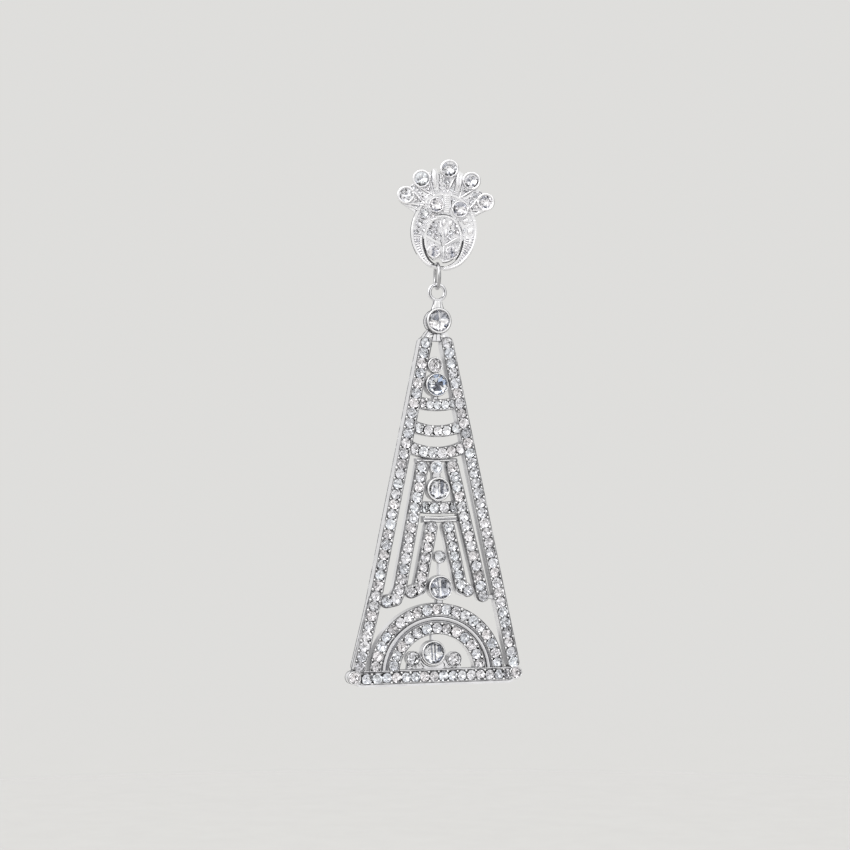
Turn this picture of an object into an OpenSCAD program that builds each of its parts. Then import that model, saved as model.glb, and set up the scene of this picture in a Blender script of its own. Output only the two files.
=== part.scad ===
// Clip-on drop earring: a crest of five petals over an oval ring, and a tall
// openwork triangle that hangs below it on a jump ring.
//
// The model has +Z up and +Y away from the viewer, into the ear. Its origin is
// where the clip grips the ear lobe, half way between the back of the crest
// and the pad of the clip.
//
// Each casting is drawn flat, with x to the right, y up and z towards the
// viewer, and is then stood upright. Sizes are in millimetres.

/* [How it hangs] */
// Turn of the drop about the vertical, against the crest
drop_turn = 17; // [0:1:25]
// Turn of the jump ring about the vertical
ring_turn = 10; // [0:1:15]
// Sideways lean of the crest on the lobe
crest_lean = 3.6; // [0:0.1:6]
// Clear gap for the ear lobe
lobe_gap = 5; // [4.8:0.1:6]

/* [Paved bands] */
// Width of a paved band
band_w = 2.1; // [1.9:0.05:2.2]
// Thickness of the drop from back to face
band_t = 2.0; // [1.9:0.1:3]
// Width of the thin rim along each side of a channel
rim = 0.24; // [0.18:0.01:0.3]
// Depth of the channel that holds the small stones
channel_d = 0.95; // [0.8:0.05:1.1]

/* [Bezels] */
// Diameter of a large round stone
large_d = 3.2; // [3:0.05:3.3]
// Wall of a large bezel
large_wall = 0.36; // [0.3:0.02:0.44]
// How far the large bezels stand above the paved face
bezel_rise = 0.4; // [0.2:0.05:0.8]
// Gap between a stone and its seat
stone_gap = 0.04; // [0.03:0.01:0.06]

/* [Jump ring and eye] */
// Wire of the jump ring
ring_wire = 0.56; // [0.5:0.02:0.58]
// Radius of the jump ring at the middle of its wire
ring_r = 2.05; // [2:0.05:2.1]
// Wire of the eye on the drop
eye_wire = 0.64; // [0.56:0.02:0.68]
// Radius of the hole in the eye
eye_r = 1.0; // [0.9:0.02:1.1]
// Diameter of the round bar that the ring hangs on
bar_d = 0.62; // [0.6:0.02:0.66]
// Gap between parts that move on each other
run_gap = 0.06; // [0.05:0.01:0.08]

/* [Clip] */
// Thickness of the clip's metal
clip_t = 0.8; // [0.7:0.05:1]
// Width of the clip's arm
clip_w = 4.4; // [4:0.1:5]
// Radius of the pad behind the lobe
pad_r = 3.9; // [3.5:0.1:4.2]

/* [Hidden] */
$fn = 48;
metal = [0.80, 0.80, 0.81];
crystal = [0.90, 0.93, 0.97];
over = 1;                       // how far a cut runs past the face it opens
sink = 0.001;                   // overlap of two cuts that meet

// ---------------------------------------------------------------- where it hangs

crest_t = 1.6;                  // plate of the crest

// The rim of the crest is an oval; its lowest arc carries the bar for the ring
rim_c = [0.2, 6.2];             // centre of the oval
rim_a = 5.45;                   // half its width
rim_b = 6.3;                    // half its height
rim_end = 4.85;                 // radius of its lowest and highest arcs
low_c = [rim_c[0], rim_c[1] - rim_b + rim_end];
bar_run_r = rim_end - bar_d / 2 - 0.03;    // the bar lies just inside the rim's edge
hang_a = 9.6;                   // the ring sits this many degrees left of the lowest point
bar_c = [low_c[0] - bar_run_r * sin(hang_a), low_c[1] - bar_run_r * cos(hang_a)];

lobe_q = 9.5;                   // height of the pad's middle in the crest's drawing
grip = [0, lobe_q, -lobe_gap / 2];
ring_drop = ring_r - ring_wire / 2 - bar_d / 2 - run_gap;      // bar to the middle of the ring
eye_drop = ring_r + eye_r - ring_wire / 2 - run_gap;           // middle of the ring to middle of the eye

// A point of the crest's drawing in the model
function lean(v) = [v[0] * cos(crest_lean) + v[2] * sin(crest_lean), v[1],
                    -v[0] * sin(crest_lean) + v[2] * cos(crest_lean)];
function from_crest(p, z) = lean([p[0] - grip[0], -(z - grip[2]), p[1] - grip[1]]);
hang = from_crest(bar_c, crest_t / 2);
ring_at = [hang[0], hang[1], hang[2] - ring_drop];
eye_at = [ring_at[0], ring_at[1], ring_at[2] - eye_drop];

module stand_crest() {
    rotate([0, crest_lean, 0]) translate([-grip[0], grip[2], -grip[1]]) rotate([90, 0, 0]) children();
}
// The eye is near the face, so the drop hangs tipped, with its weight right below the ring
module stand_drop() {
    translate(eye_at) rotate([0, 0, drop_turn]) rotate([90 - hang_tip, 0, 0])
        translate([-eye_u, 0, -eye_z]) children();
}

// ---------------------------------------------------------------- outlines

function unit(a, b) = (b - a) / norm(b - a);

// A bar between two points with a round end at each, ra and rb wide to each side
module taper(a, ra, b, rb) {
    u = unit(a, b);
    s = (ra - rb) / norm(b - a);        // lean of the tangent lines
    c = sqrt(1 - s * s);
    l = [u[0] * s - u[1] * c, u[1] * s + u[0] * c];
    r = [u[0] * s + u[1] * c, u[1] * s - u[0] * c];
    translate(a) circle(r = ra - 0.01);
    translate(b) circle(r = rb - 0.01);
    polygon([a + l * ra, a + r * ra, b + r * rb, b + l * rb]);
}
module bar(a, b, w) taper(a, w / 2, b, w / 2);

module ring2d(r_out, r_in) difference() {
    circle(r = r_out);
    circle(r = r_in);
}

// An oval of four arcs about c: half width a, half height b, end arcs of radius r
module egg(c, a, b, r) {
    side = (a * a + (b - r) * (b - r) - r * r) / (2 * (a - r));
    t = side * (b - r) / (side - r);    // height where the arcs meet
    translate(c) {
        intersection() {
            translate([a - side, 0]) circle(r = side, $fn = 96);
            translate([side - a, 0]) circle(r = side, $fn = 96);
            translate([-a - 1, -t]) square([2 * a + 2, 2 * t]);
        }
        translate([0, b - r]) circle(r = r);
        translate([0, r - b]) circle(r = r);
    }
}

// ---------------------------------------------------------------- the drop

eye_u = 0.2;                    // the eye stands this far right of the legs' middle line
eye_z = 0.8;                    // and this far in front of the casting's middle plane
hang_tip = 1.4;                 // degrees, the foot towards the viewer

back_z = -band_t / 2;
face_z = band_t / 2;
bezel_z = face_z + bezel_rise;

leg_top = [1.85, -8.35];
leg_low = [12.95, -61.2];
leg_bend = [-11.0, -51.5];      // below this the left leg spreads a little more
arch_c = [-0.3, -62.75];        // centre of both arches, on top of the base
base_v = -63.15;

// Straight paved bands: from x, y, to x, y
LEGS = [
    [-leg_top[0], leg_top[1] - 0.02, leg_bend[0], leg_bend[1]],
    [leg_bend[0], leg_bend[1], -leg_low[0] - 0.5, leg_low[1]],
    [ leg_top[0], leg_top[1],  leg_low[0], leg_low[1]],
];
TOWER = [
    [-2.6, -28.75, -6.5, -48.6],        // middle leg, left
    [ 2.6, -28.75,  7.45, -48.8],       // middle leg, right
    [-1.1, -38.7, -3.15, -48.7],        // inner leg, left
    [ 1.85, -38.7,  4.05, -48.7],       // inner leg, right
];
FEET = [
    [-3.15, -48.9, -4.6, -49.25],       // inner left
    [ 4.05, -48.9,  5.1, -49.2],        // inner right
    [-6.5, -48.6, -7.27, -50.46],       // middle left, going down
    [-7.27, -50.46, -8.8, -50.75],       // middle left, turned to the outer leg
    [ 7.45, -48.8,  7.75, -50.1],       // middle right
];

// Sagging cross bars: x and y of the middle, radius, half length, width
CROSS = [
    [0.15, -18.6, 12, 3.1, 1.95],
    [0.15, -22.9, 10.7, 4.0, 1.9],
    [0.05, -26.5, 11.5, 4.7, 2.05],
    [0.5, -35.55, 30, 3.3, 2.05],       // the sill of the tower
];

// Arches: outer radius, inner radius
ARCHES = [
    [11.6, 9.55],
    [8.55, 6.5],
];

// Stones in bezels: x, y, radius of the stone, wall, top, bottom
COLLAR     = [0.3, -4.7, large_d / 2 + 0.05, 0.3, bezel_z + 0.1, back_z];
SPIRE      = [-0.05, -15.25, large_d / 2, large_wall - 0.06, bezel_z, back_z + 0.2];
TOWER_ROSE = [0.08, -32.45, large_d / 2, large_wall - 0.02, bezel_z - 0.05, back_z + 0.3];
KEYSTONE   = [0.25, -48.65, large_d / 2 + 0.05, large_wall, bezel_z + 0.1, back_z + 0.3];
ARCH_ROSE  = [-1.0, -59.3, large_d / 2 + 0.02, large_wall, bezel_z, back_z + 0.3];
FINIAL     = [-0.3, -12.0, 0.95, 0.32, face_z + 0.2, back_z + 0.5];
PINNACLE   = [0.4, -43.6, 0.86, 0.16, face_z, back_z + 0.4];
ARCH_LEFT  = [-4.4, -60.15, 0.98, 0.16, face_z, back_z + 0.4];
ARCH_RIGHT = [2.65, -60.4, 0.98, 0.16, face_z, back_z + 0.4];
CORNER_L   = [-14.4, -63.0, 0.8, 0.27, face_z + 0.1, back_z];
CORNER_R   = [13.3, -62.95, 0.8, 0.27, face_z + 0.1, back_z];
BEZELS = [COLLAR, SPIRE, TOWER_ROSE, KEYSTONE, ARCH_ROSE, FINIAL, PINNACLE,
          ARCH_LEFT, ARCH_RIGHT, CORNER_L, CORNER_R];
girdle_d = 0.42;                // a stone's girdle lies this far below its bezel's lip

module rows(list, w) for (r = list) bar([r[0], r[1]], [r[2], r[3]], w);

// A cross bar's outline: a slice of a ring, low in the middle
module sag(c, w, half) translate([c[0], 0]) intersection() {
    translate([0, c[1] + c[2]]) ring2d(c[2] + w / 2, c[2] - w / 2, $fn = 96);
    translate([-half, c[1] - 2]) square([2 * half, 4]);
}

// Both arches between their inner and outer edges, less g on each side, above height v
module arches(g, v) intersection() {
    translate(arch_c) for (a = ARCHES) ring2d(a[0] - g, a[1] + g, $fn = 96);
    translate([-13, v]) square([26, 14]);
}

module paved_outline() {
    rows(LEGS, band_w);
    rows(TOWER, band_w);
    rows(FEET, band_w);
    bar([-13.1, base_v - 0.12], [12.0, base_v - 0.12], band_w + 0.5);
    for (c = CROSS) sag(c, c[4], c[3]);
    arches(0, base_v);
}
module channels() {
    rows(LEGS, band_w - 2 * rim);
    difference() {
        union() {
            rows(TOWER, band_w - 2 * rim);
            rows(FEET, band_w - 2 * rim);
        }
        rows(LEGS, band_w);
    }
    bar([-13.1, base_v], [12.0, base_v], band_w + 0.05 - 2 * rim);
    difference() {
        union() {
            for (c = CROSS) sag(c, c[4] - 2 * rim, c[3]);
            arches(rim, base_v + band_w / 2 + 0.1);
        }
        rows(LEGS, band_w);
        rows([TOWER[0], TOWER[1]], band_w);
    }
}

// Plain metal that joins the bands and bezels, lower than the paved face
module joining() {
    // shoulders of the triangle, under the collar
    polygon([[-2.1, -9.0], [-0.85, -8.1], [1.0, -8.1], [2.1, -9.0], [2.6, -7.9], [1.7, -6.2], [-1.3, -6.2], [-2.5, -7.9]]);
    // finial, spire and first cross bar
    translate([-0.6, -18.2]) square([0.9, 6]);
    // rail under the third cross bar
    translate([-3.6, -28.05]) square([7.2, 0.7]);
    // neck of the tower
    translate([-0.8, -31]) square([1.4, 3.2]);
    // tower rose to the sill
    translate([-0.5, -35.2]) square([1.2, 2]);
    // rail under the sill, on the inner legs
    translate([-2.5, -37.95]) square([6.1, 1.1]);
    // pinnacle to keystone, and keystone to the arch
    translate([0.2, -47.2]) square([0.26, 3]);
    translate([-0.25, -51.7]) square([1.1, 2]);
    // right middle foot to the outer leg
    bar([7.9, -50.1], [10.9, -50.6], 0.8);
    // plain strip between the arches
    intersection() {
        translate(arch_c) ring2d(ARCHES[0][1] + 0.1, ARCHES[1][0] - 0.1, $fn = 96);
        translate([-13, base_v]) square([26, 14]);
    }
    // arch rose to the inner arch, and the shelf under the three stones
    translate([ARCH_ROSE[0] - 0.15, -57.6]) square([0.3, 1.6]);
    polygon([[-5.4, -62.5], [3.9, -62.5], [3.6, -60.6], [-5.1, -60.6]]);
    // base to the corner bezels, and legs to the base
    bar([CORNER_L[0], CORNER_L[1]], [-12.6, base_v], 1.3);
    bar([CORNER_R[0], CORNER_R[1]], [11.6, base_v], 1.3);
    bar([-leg_low[0], leg_low[1]], [-13.3, -63], 1.4);
    bar([leg_low[0], leg_low[1]], [13.2, -63], 1.4);
}

module bezel_body(b) translate([b[0], b[1], b[5]]) cylinder(r = b[2] + b[3], h = b[4] - b[5]);

// The seat: straight round the girdle, then a cone down to a small flat
module seat(x, y, r, top) translate([x, y, top - girdle_d]) {
    cylinder(r = r + stone_gap, h = girdle_d + over);
    translate([0, 0, -0.92 * r]) cylinder(r1 = 0.25, r2 = r + stone_gap, h = 0.92 * r + sink);
}

module eye() rotate_extrude() translate([eye_r + eye_wire / 2, 0]) circle(d = eye_wire);

// Flat neck from the eye to the collar, cut back round the eye's hole
module neck() difference() {
    translate([0, 0, -0.55]) linear_extrude(height = 1)
        taper([0, -eye_r - 0.5], 0.6, [0, -3.3], 1.0);
    translate([0, 0, -3]) cylinder(r = eye_r + 0.1, h = 6);
}

small_seat = [-0.1, -28.85, 0.82];      // the stone on the neck of the tower: x, y, radius

module drop_metal() {
    difference() {
        union() {
            translate([0, 0, back_z]) linear_extrude(height = band_t) paved_outline();
            translate([0, 0, back_z + 0.3]) linear_extrude(height = band_t - 0.7) joining();
        }
        translate([0, 0, face_z - channel_d]) linear_extrude(height = channel_d + over) channels();
    }
    for (b = BEZELS) bezel_body(b);
    translate([small_seat[0], small_seat[1], back_z + 0.3]) cylinder(r = small_seat[2] + 0.3, h = band_t - 0.3);
}

module drop_frame() color(metal) stand_drop() {
    difference() {
        union() {
            drop_metal();
            translate([eye_u, 0, eye_z]) neck();
        }
        for (b = BEZELS) seat(b[0], b[1], b[2], b[4]);
        seat(small_seat[0], small_seat[1], small_seat[2], face_z);
    }
    translate([eye_u, 0, eye_z]) eye();
}

// ---------------------------------------------------------------- stones

// A round stone as a turned form: pavilion, girdle, crown and table
module stone(r) rotate_extrude() polygon([
    [0, -r * 0.9], [r, -0.06], [r, 0.04], [r * 0.62, r * 0.34], [0, r * 0.34]]);

module drop_stone(b) color(crystal) stand_drop() translate([b[0], b[1], b[4] - girdle_d + 0.08]) stone(b[2]);

// ---------------------------------------------------------------- the crest

// Stones of the crest: x, y, radius of the stone, wall, top
FAN = [
    [-6.4, 11.85, 1.0, 0.36, 1.7],
    [-4.0, 14.65, 1.05, 0.34, 1.85],
    [0.45, 16.55, 1.12, 0.3, 2.0],
    [4.2, 14.8, 1.05, 0.34, 1.85],
    [6.72, 11.5, 1.0, 0.36, 1.7],
];
SHOULDER_L = [-1.3, 10.5, 1.02, 0.24, 2.1];
SHOULDER_R = [2.65, 10.05, 1.12, 0.24, 2.1];
BUD_L = [-1.25, 2.85, 0.85, 0.24, 1.95];
BUD_R = [1.75, 2.85, 0.85, 0.24, 1.95];
field_z = 1.3;                  // floor of the paved fields
bud_c = [0.12, 5.03];
bud_a = 3.1;
bud_b = 3.88;

module rim_egg(g = 0) egg(rim_c, rim_a - g, rim_b - g, rim_end - g);
module bud_egg(g = 0) egg(bud_c, bud_a - g, bud_b - g, 2.75 - g);

// The field between the petals, without their round tips
module fan_field() polygon([
    [-3, 7], [-5.1, 9.3], [-7.3, 10.65], [-6.6, 12.0], [-5.8, 13.6], [-4.15, 14.8], [-3.0, 15.9],
    [-1.0, 15.9], [0.3, 16.7], [1.6, 15.9], [3.1, 15.5], [4.2, 14.9], [5.6, 13.5], [6.6, 11.85],
    [7.2, 10.35], [5.1, 9.1], [3, 7]]);

// Polished blades on both sides of the top petal
module blade_left() polygon([[-2.35, 16.5], [-1.55, 16.4], [-1.15, 13.0], [-1.95, 12.9]]);
module blade_right() polygon([[1.7, 16.6], [2.75, 15.9], [2.55, 13.1], [1.75, 13.0]]);

// The open slot between the rim and the bud, and the place that the ring swings in
module slot() {
    intersection() {
        difference() {
            egg([0.12, 5.0], 3.45, 4.6, 3.0);
            bud_egg();
        }
        translate([-5, 0]) square([10, 4.9]);
    }
    translate([bar_c[0], 0.95]) circle(r = 0.8);
    translate([bar_c[0] - 1, -1]) square([2, 1.75]);
}

// The round bar in the rim that the ring hangs on
module rim_bar() translate([low_c[0], low_c[1], crest_t / 2])
    rotate([0, 0, 237]) rotate_extrude(angle = 46) translate([bar_run_r, 0]) circle(d = bar_d);

module crest_plate() {
    // floor of the whole outline
    linear_extrude(height = field_z) {
        rim_egg();
        fan_field();
    }
    // smooth outer edge and inner edge of the rim, with a lower band between them
    linear_extrude(height = crest_t) intersection() {
        difference() {
            rim_egg();
            rim_egg(0.42);
        }
        translate([-6, -1]) square([12, 10.5]);
    }
    linear_extrude(height = crest_t) intersection() {
        difference() {
            egg([0.12, 5.0], 3.78, 4.93, 3.33);
            egg([0.12, 5.0], 3.45, 4.6, 3.0);
        }
        translate([-5, 0.4]) square([10, 5]);
    }
    // walls over the shoulders, and round the bud
    linear_extrude(height = crest_t + 0.1) intersection() {
        difference() {
            rim_egg(0);
            rim_egg(0.3);
        }
        translate([-5, 9.5]) square([10, 4]);
    }
    linear_extrude(height = 1.75) difference() {
        bud_egg();
        bud_egg(0.3);
    }
    // the two leaves of the bud meet in a V, over a cup that is split down the middle
    linear_extrude(height = 1.7) {
        bar([0.35, 3.9], [0.15, 5.2], 0.32);
        bar([0.15, 5.2], [-0.55, 7.3], 0.3);
        bar([0.35, 3.9], [3.0, 5.5], 0.3);
        bar([0.35, 3.9], [-2.75, 5.3], 0.3);
        bar([0.32, 1.42], [0.35, 3.9], 0.28);
    }
    linear_extrude(height = 1.9) {
        blade_left();
        blade_right();
    }
    // column between the shoulders
    linear_extrude(height = 1.8) polygon([[-0.35, 12.4], [0.95, 12.4], [0.8, 9.3], [-0.05, 9.3]]);
    for (f = FAN) translate([f[0], f[1], 0]) cylinder(r = f[2] + f[3], h = f[4]);
    for (f = [SHOULDER_L, SHOULDER_R, BUD_L, BUD_R])
        translate([f[0], f[1], 0.2]) cylinder(r = f[2] + f[3], h = f[4] - 0.2);
}

module crest() color(metal) stand_crest() {
    difference() {
        crest_plate();
        translate([0, 0, -over]) linear_extrude(height = crest_t + 3) slot();
        for (f = concat(FAN, [SHOULDER_L, SHOULDER_R, BUD_L, BUD_R])) seat(f[0], f[1], f[2], f[4]);
    }
    rim_bar();
}

module crest_stone(f) color(crystal) stand_crest() translate([f[0], f[1], f[4] - girdle_d + 0.08]) stone(f[2]);

// ---------------------------------------------------------------- clip

// Bent strip seen from the side: from the back of the crest, under the lobe and up
// behind it. x runs away from the viewer, y up.
module clip_side() {
    t = clip_t;
    back = lobe_gap + 0.3;      // inner face of the paddle
    r = 1.6;                    // outer radius of the bends
    low = 2.2;
    near = 0.04;                // the base lies against the crest, this far off
    translate([near, low + r]) square([t, 3.2]);
    translate([near + r, low]) square([back + t - near - 2 * r, t]);
    translate([back, low + r]) square([t, 4.5]);
    translate([near + r, low + r]) intersection() {
        ring2d(r, r - t);
        translate([-r, -r]) square([r, r]);
    }
    translate([back + t - r, low + r]) intersection() {
        ring2d(r, r - t);
        translate([0, -r]) square([r, r]);
    }
}
module ear_clip() color(metal) stand_crest() {
    back = lobe_gap + 0.3;
    translate([clip_w / 2, 0, 0]) rotate([0, 90, 180]) mirror([0, 1, 0]) linear_extrude(height = clip_w) clip_side();
    // paddle, with a low pad on its inner face
    translate([0, 0, -back - clip_t]) linear_extrude(height = clip_t)
        taper([0, 6.2], clip_w / 2, [0, lobe_q], pad_r);
    translate([0, lobe_q, -back - 0.01]) cylinder(r = pad_r - 1, h = 0.31);
}

// ---------------------------------------------------------------- ring

module jump_ring() color(metal)
    translate(ring_at) rotate([0, 0, ring_turn]) rotate([0, 90, 0])
        rotate_extrude() translate([ring_r, 0]) circle(d = ring_wire);

// ---------------------------------------------------------------- nodes

crest();
ear_clip();
jump_ring();
drop_frame();
drop_stone(COLLAR);  // stone_collar
drop_stone(SPIRE);  // stone_spire
drop_stone(TOWER_ROSE);  // stone_tower
drop_stone(KEYSTONE);  // stone_keystone
drop_stone(ARCH_ROSE);  // stone_arch
drop_stone(FINIAL);  // stone_finial
drop_stone(PINNACLE);  // stone_pinnacle
drop_stone(ARCH_LEFT);  // stone_arch_left
drop_stone(ARCH_RIGHT);  // stone_arch_right
drop_stone(CORNER_L);  // stone_corner_left
drop_stone(CORNER_R);  // stone_corner_right
crest_stone(FAN[0]);  // stone_fan_1
crest_stone(FAN[1]);  // stone_fan_2
crest_stone(FAN[2]);  // stone_fan_3
crest_stone(FAN[3]);  // stone_fan_4
crest_stone(FAN[4]);  // stone_fan_5
crest_stone(SHOULDER_L);  // stone_shoulder_left
crest_stone(SHOULDER_R);  // stone_shoulder_right
crest_stone(BUD_L);  // stone_bud_left
crest_stone(BUD_R);  // stone_bud_right
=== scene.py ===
"""Looks of a clip-on drop earring: plated castings, rows of cut stones with their beads, rounded lips and rims.

Every piece is made in the drawing of its casting (millimetres: x right, y up, z towards the viewer) and is then
stood upright with the same turn as the casting itself.
"""

import math
import random

import bpy
import numpy as np
from mathutils import Matrix, Vector
from mathutils.bvhtree import BVHTree


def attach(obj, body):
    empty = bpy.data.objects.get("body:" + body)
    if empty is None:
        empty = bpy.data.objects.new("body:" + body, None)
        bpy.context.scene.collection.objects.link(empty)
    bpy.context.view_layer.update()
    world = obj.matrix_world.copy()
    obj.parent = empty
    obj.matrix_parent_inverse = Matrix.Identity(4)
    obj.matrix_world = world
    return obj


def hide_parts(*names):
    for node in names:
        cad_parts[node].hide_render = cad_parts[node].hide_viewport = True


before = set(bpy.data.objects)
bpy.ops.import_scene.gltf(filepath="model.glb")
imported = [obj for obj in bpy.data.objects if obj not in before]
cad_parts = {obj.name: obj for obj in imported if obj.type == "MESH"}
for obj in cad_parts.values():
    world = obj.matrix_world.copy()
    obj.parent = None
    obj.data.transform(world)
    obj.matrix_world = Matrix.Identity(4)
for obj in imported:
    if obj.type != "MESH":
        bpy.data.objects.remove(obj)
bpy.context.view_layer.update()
MM = 0.001

# ---------------------------------------------------------------- where the drawings stand

EYE_AT = (-1.12851, -3.3, -13.254)
CREST = (
    Matrix.Scale(MM, 4)
    @ Matrix.Rotation(math.radians(3.6), 4, "Y")
    @ Matrix.Translation((0, -2.5, -9.5))
    @ Matrix.Rotation(math.radians(90), 4, "X")
)
DROP = (
    Matrix.Scale(MM, 4)
    @ Matrix.Translation(EYE_AT)
    @ Matrix.Rotation(math.radians(17), 4, "Z")
    @ Matrix.Rotation(math.radians(90 - 1.4), 4, "X")
    @ Matrix.Translation((-0.2, 0, -0.8))
)

FACE = 1.0          # height of the paved face over the middle of the casting
BAND = 2.1          # width of a paved band
RIM = 0.24          # width of a channel's rim
FIELD = 1.3         # floor of the crest's paved fields

LEG_L = [(-1.85, -8.37), (-11.0, -51.5), (-13.45, -61.2)]
LEG_R = [(1.85, -8.35), (12.95, -61.2)]
TOWER_L = [(-2.6, -28.75), (-6.5, -48.6)]
TOWER_R = [(2.6, -28.75), (7.45, -48.8)]
INNER_L = [(-1.1, -38.7), (-3.15, -48.7)]
INNER_R = [(1.85, -38.7), (4.05, -48.7)]
FEET = [
    [(-3.15, -48.9), (-4.6, -49.25)],
    [(4.05, -48.9), (5.1, -49.2)],
    [(-6.5, -48.6), (-7.27, -50.46)],
    [(-7.27, -50.46), (-8.8, -50.75)],
    [(7.45, -48.8), (7.75, -50.1)],
]
BASE = [(-13.1, -63.15), (12.0, -63.15)]
# Sagging cross bars: x and y of the middle, radius, half length, width
CROSS = [
    (0.15, -18.6, 12.0, 3.1, 1.95),
    (0.15, -22.9, 10.7, 4.0, 1.9),
    (0.05, -26.5, 11.5, 4.7, 2.05),
    (0.5, -35.55, 30.0, 3.3, 2.05),
]
ARCH_C = (-0.3, -62.75)
ARCHES = [(11.6, 9.55), (8.55, 6.5)]

# Stones in bezels of the drop: name, x, y, radius, wall, top of the lip
DROP_BEZELS = [
    ("stone_collar", 0.3, -4.7, 1.65, 0.3, 1.5),
    ("stone_spire", -0.05, -15.25, 1.6, 0.3, 1.4),
    ("stone_tower", 0.08, -32.45, 1.6, 0.34, 1.35),
    ("stone_keystone", 0.25, -48.65, 1.65, 0.36, 1.5),
    ("stone_arch", -1.0, -59.3, 1.62, 0.36, 1.4),
    ("stone_finial", -0.3, -12.0, 0.95, 0.32, 1.2),
    ("stone_pinnacle", 0.4, -43.6, 0.86, 0.16, 1.0),
    ("stone_arch_left", -4.4, -60.15, 0.98, 0.16, 1.0),
    ("stone_arch_right", 2.65, -60.4, 0.98, 0.16, 1.0),
    ("stone_corner_left", -14.4, -63.0, 0.8, 0.27, 1.1),
    ("stone_corner_right", 13.3, -62.95, 0.8, 0.27, 1.1),
]
CREST_BEZELS = [
    ("stone_fan_1", -6.4, 11.85, 1.0, 0.36, 1.7),
    ("stone_fan_2", -4.0, 14.65, 1.05, 0.34, 1.85),
    ("stone_fan_3", 0.45, 16.55, 1.12, 0.3, 2.0),
    ("stone_fan_4", 4.2, 14.8, 1.05, 0.34, 1.85),
    ("stone_fan_5", 6.72, 11.5, 1.0, 0.36, 1.7),
    ("stone_shoulder_left", -1.3, 10.5, 1.02, 0.24, 2.1),
    ("stone_shoulder_right", 2.65, 10.05, 1.12, 0.24, 2.1),
    ("stone_bud_left", -1.25, 2.85, 0.85, 0.24, 1.95),
    ("stone_bud_right", 1.75, 2.85, 0.85, 0.24, 1.95),
]
GIRDLE_D = 0.34     # a stone's girdle lies this far below its lip

# Small stones of the crest: x, y, radius
CREST_SMALL = [
    (-1.25, 7.2, 0.42), (-2.15, 6.9, 0.4), (-1.2, 6.2, 0.4), (-2.15, 5.95, 0.4), (-1.15, 5.35, 0.38), (-0.55, 5.75, 0.3),
    (2.2, 7.4, 0.42), (2.35, 6.35, 0.42), (1.35, 6.1, 0.42), (1.15, 5.25, 0.34),
    (-3.15, 9.0, 0.74), (-3.83, 7.45, 0.6), (-4.4, 5.9, 0.46),
    (-4.75, 11.25, 0.44), (-5.35, 13.1, 0.4), (-4.3, 12.45, 0.42), (-2.9, 13.2, 0.46), (-3.7, 11.5, 0.38),
    (0.1, 14.55, 0.52), (0.3, 13.55, 0.36),
    (3.4, 13.3, 0.46), (4.9, 12.6, 0.44), (5.25, 10.8, 0.42), (4.3, 11.4, 0.38), (5.7, 12.9, 0.3), (-3.9, 10.2, 0.34), (4.4, 10.2, 0.34),
]


# ---------------------------------------------------------------- meshes from lists

class Build:
    """Verts and faces gathered for one joined mesh, with a material index and a painted shade for each face."""

    def __init__(self):
        self.v, self.f, self.m, self.c, self.s = [], [], [], [], []

    def add(self, verts, faces, mats, shades, smooth):
        base = len(self.v)
        self.v.extend(verts)
        for face, mat, shade in zip(faces, mats, shades):
            self.f.append([base + i for i in face])
            self.m.append(mat)
            self.c.append(shade)
            self.s.append(smooth)

    def make(self, name, matrix, materials, body, slot):
        mesh = bpy.data.meshes.new(name)
        mesh.from_pydata([tuple(matrix @ Vector(p)) for p in self.v], [], self.f)
        mesh.polygons.foreach_set("material_index", self.m)
        mesh.polygons.foreach_set("use_smooth", self.s)
        layer = mesh.color_attributes.new(name="shade", type="FLOAT_COLOR", domain="CORNER")
        data = np.ones((len(mesh.loops), 4), np.float32)
        i = 0
        for face, shade in zip(self.f, self.c):
            data[i:i + len(face), :3] = shade
            i += len(face)
        layer.data.foreach_set("color", data.ravel())
        for m in materials:
            mesh.materials.append(m)
        mesh.update()
        o = bpy.data.objects.new(name, mesh)
        bpy.context.scene.collection.objects.link(o)
        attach(o, body)
        return o


def polar(r, deg, z):
    a = math.radians(deg)
    return (r * math.cos(a), r * math.sin(a), z)


def pavilion(rng, r, n, base, foot, depth):
    """Two rows of facets under a girdle of n corners, numbered from foot, each a little out of true, and what closes them."""
    def out(k):
        return rng.uniform(-k, k) * r
    low = base + foot
    v = [polar((0.6 + out(0.05) / r) * r, 360 * i / n + 180 / n, -(0.06 + 0.42 * depth) * r + out(0.05)) for i in range(n)]
    m = n // 2
    v += [polar(0.24 * r, 360 * i / m + 180 / m, -(0.06 + 0.78 * depth) * r + out(0.04)) for i in range(m)]
    v += [(0, 0, -(depth + 0.06) * r)]
    A, B, C = 0, n, n + m
    f = []
    for i in range(n):
        j = (i + 1) % n
        f += [[("g", i), ("v", A + i), ("g", j)], [("v", A + i), ("v", A + j), ("g", j)]]
    for i in range(m):
        j = (i + 1) % m
        a0, a1, a2 = A + 2 * i, A + 2 * i + 1, A + (2 * i + 2) % n
        f += [[("v", a0), ("v", B + i), ("v", a1)], [("v", a1), ("v", B + i), ("v", B + j)], [("v", a1), ("v", B + j), ("v", a2)]]
        f += [[("v", B + i), ("v", C), ("v", B + j)]]
    start = base + foot + n
    return v, [[(base + foot + k) if kind == "g" else start + k for kind, k in face] for face in f]


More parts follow.
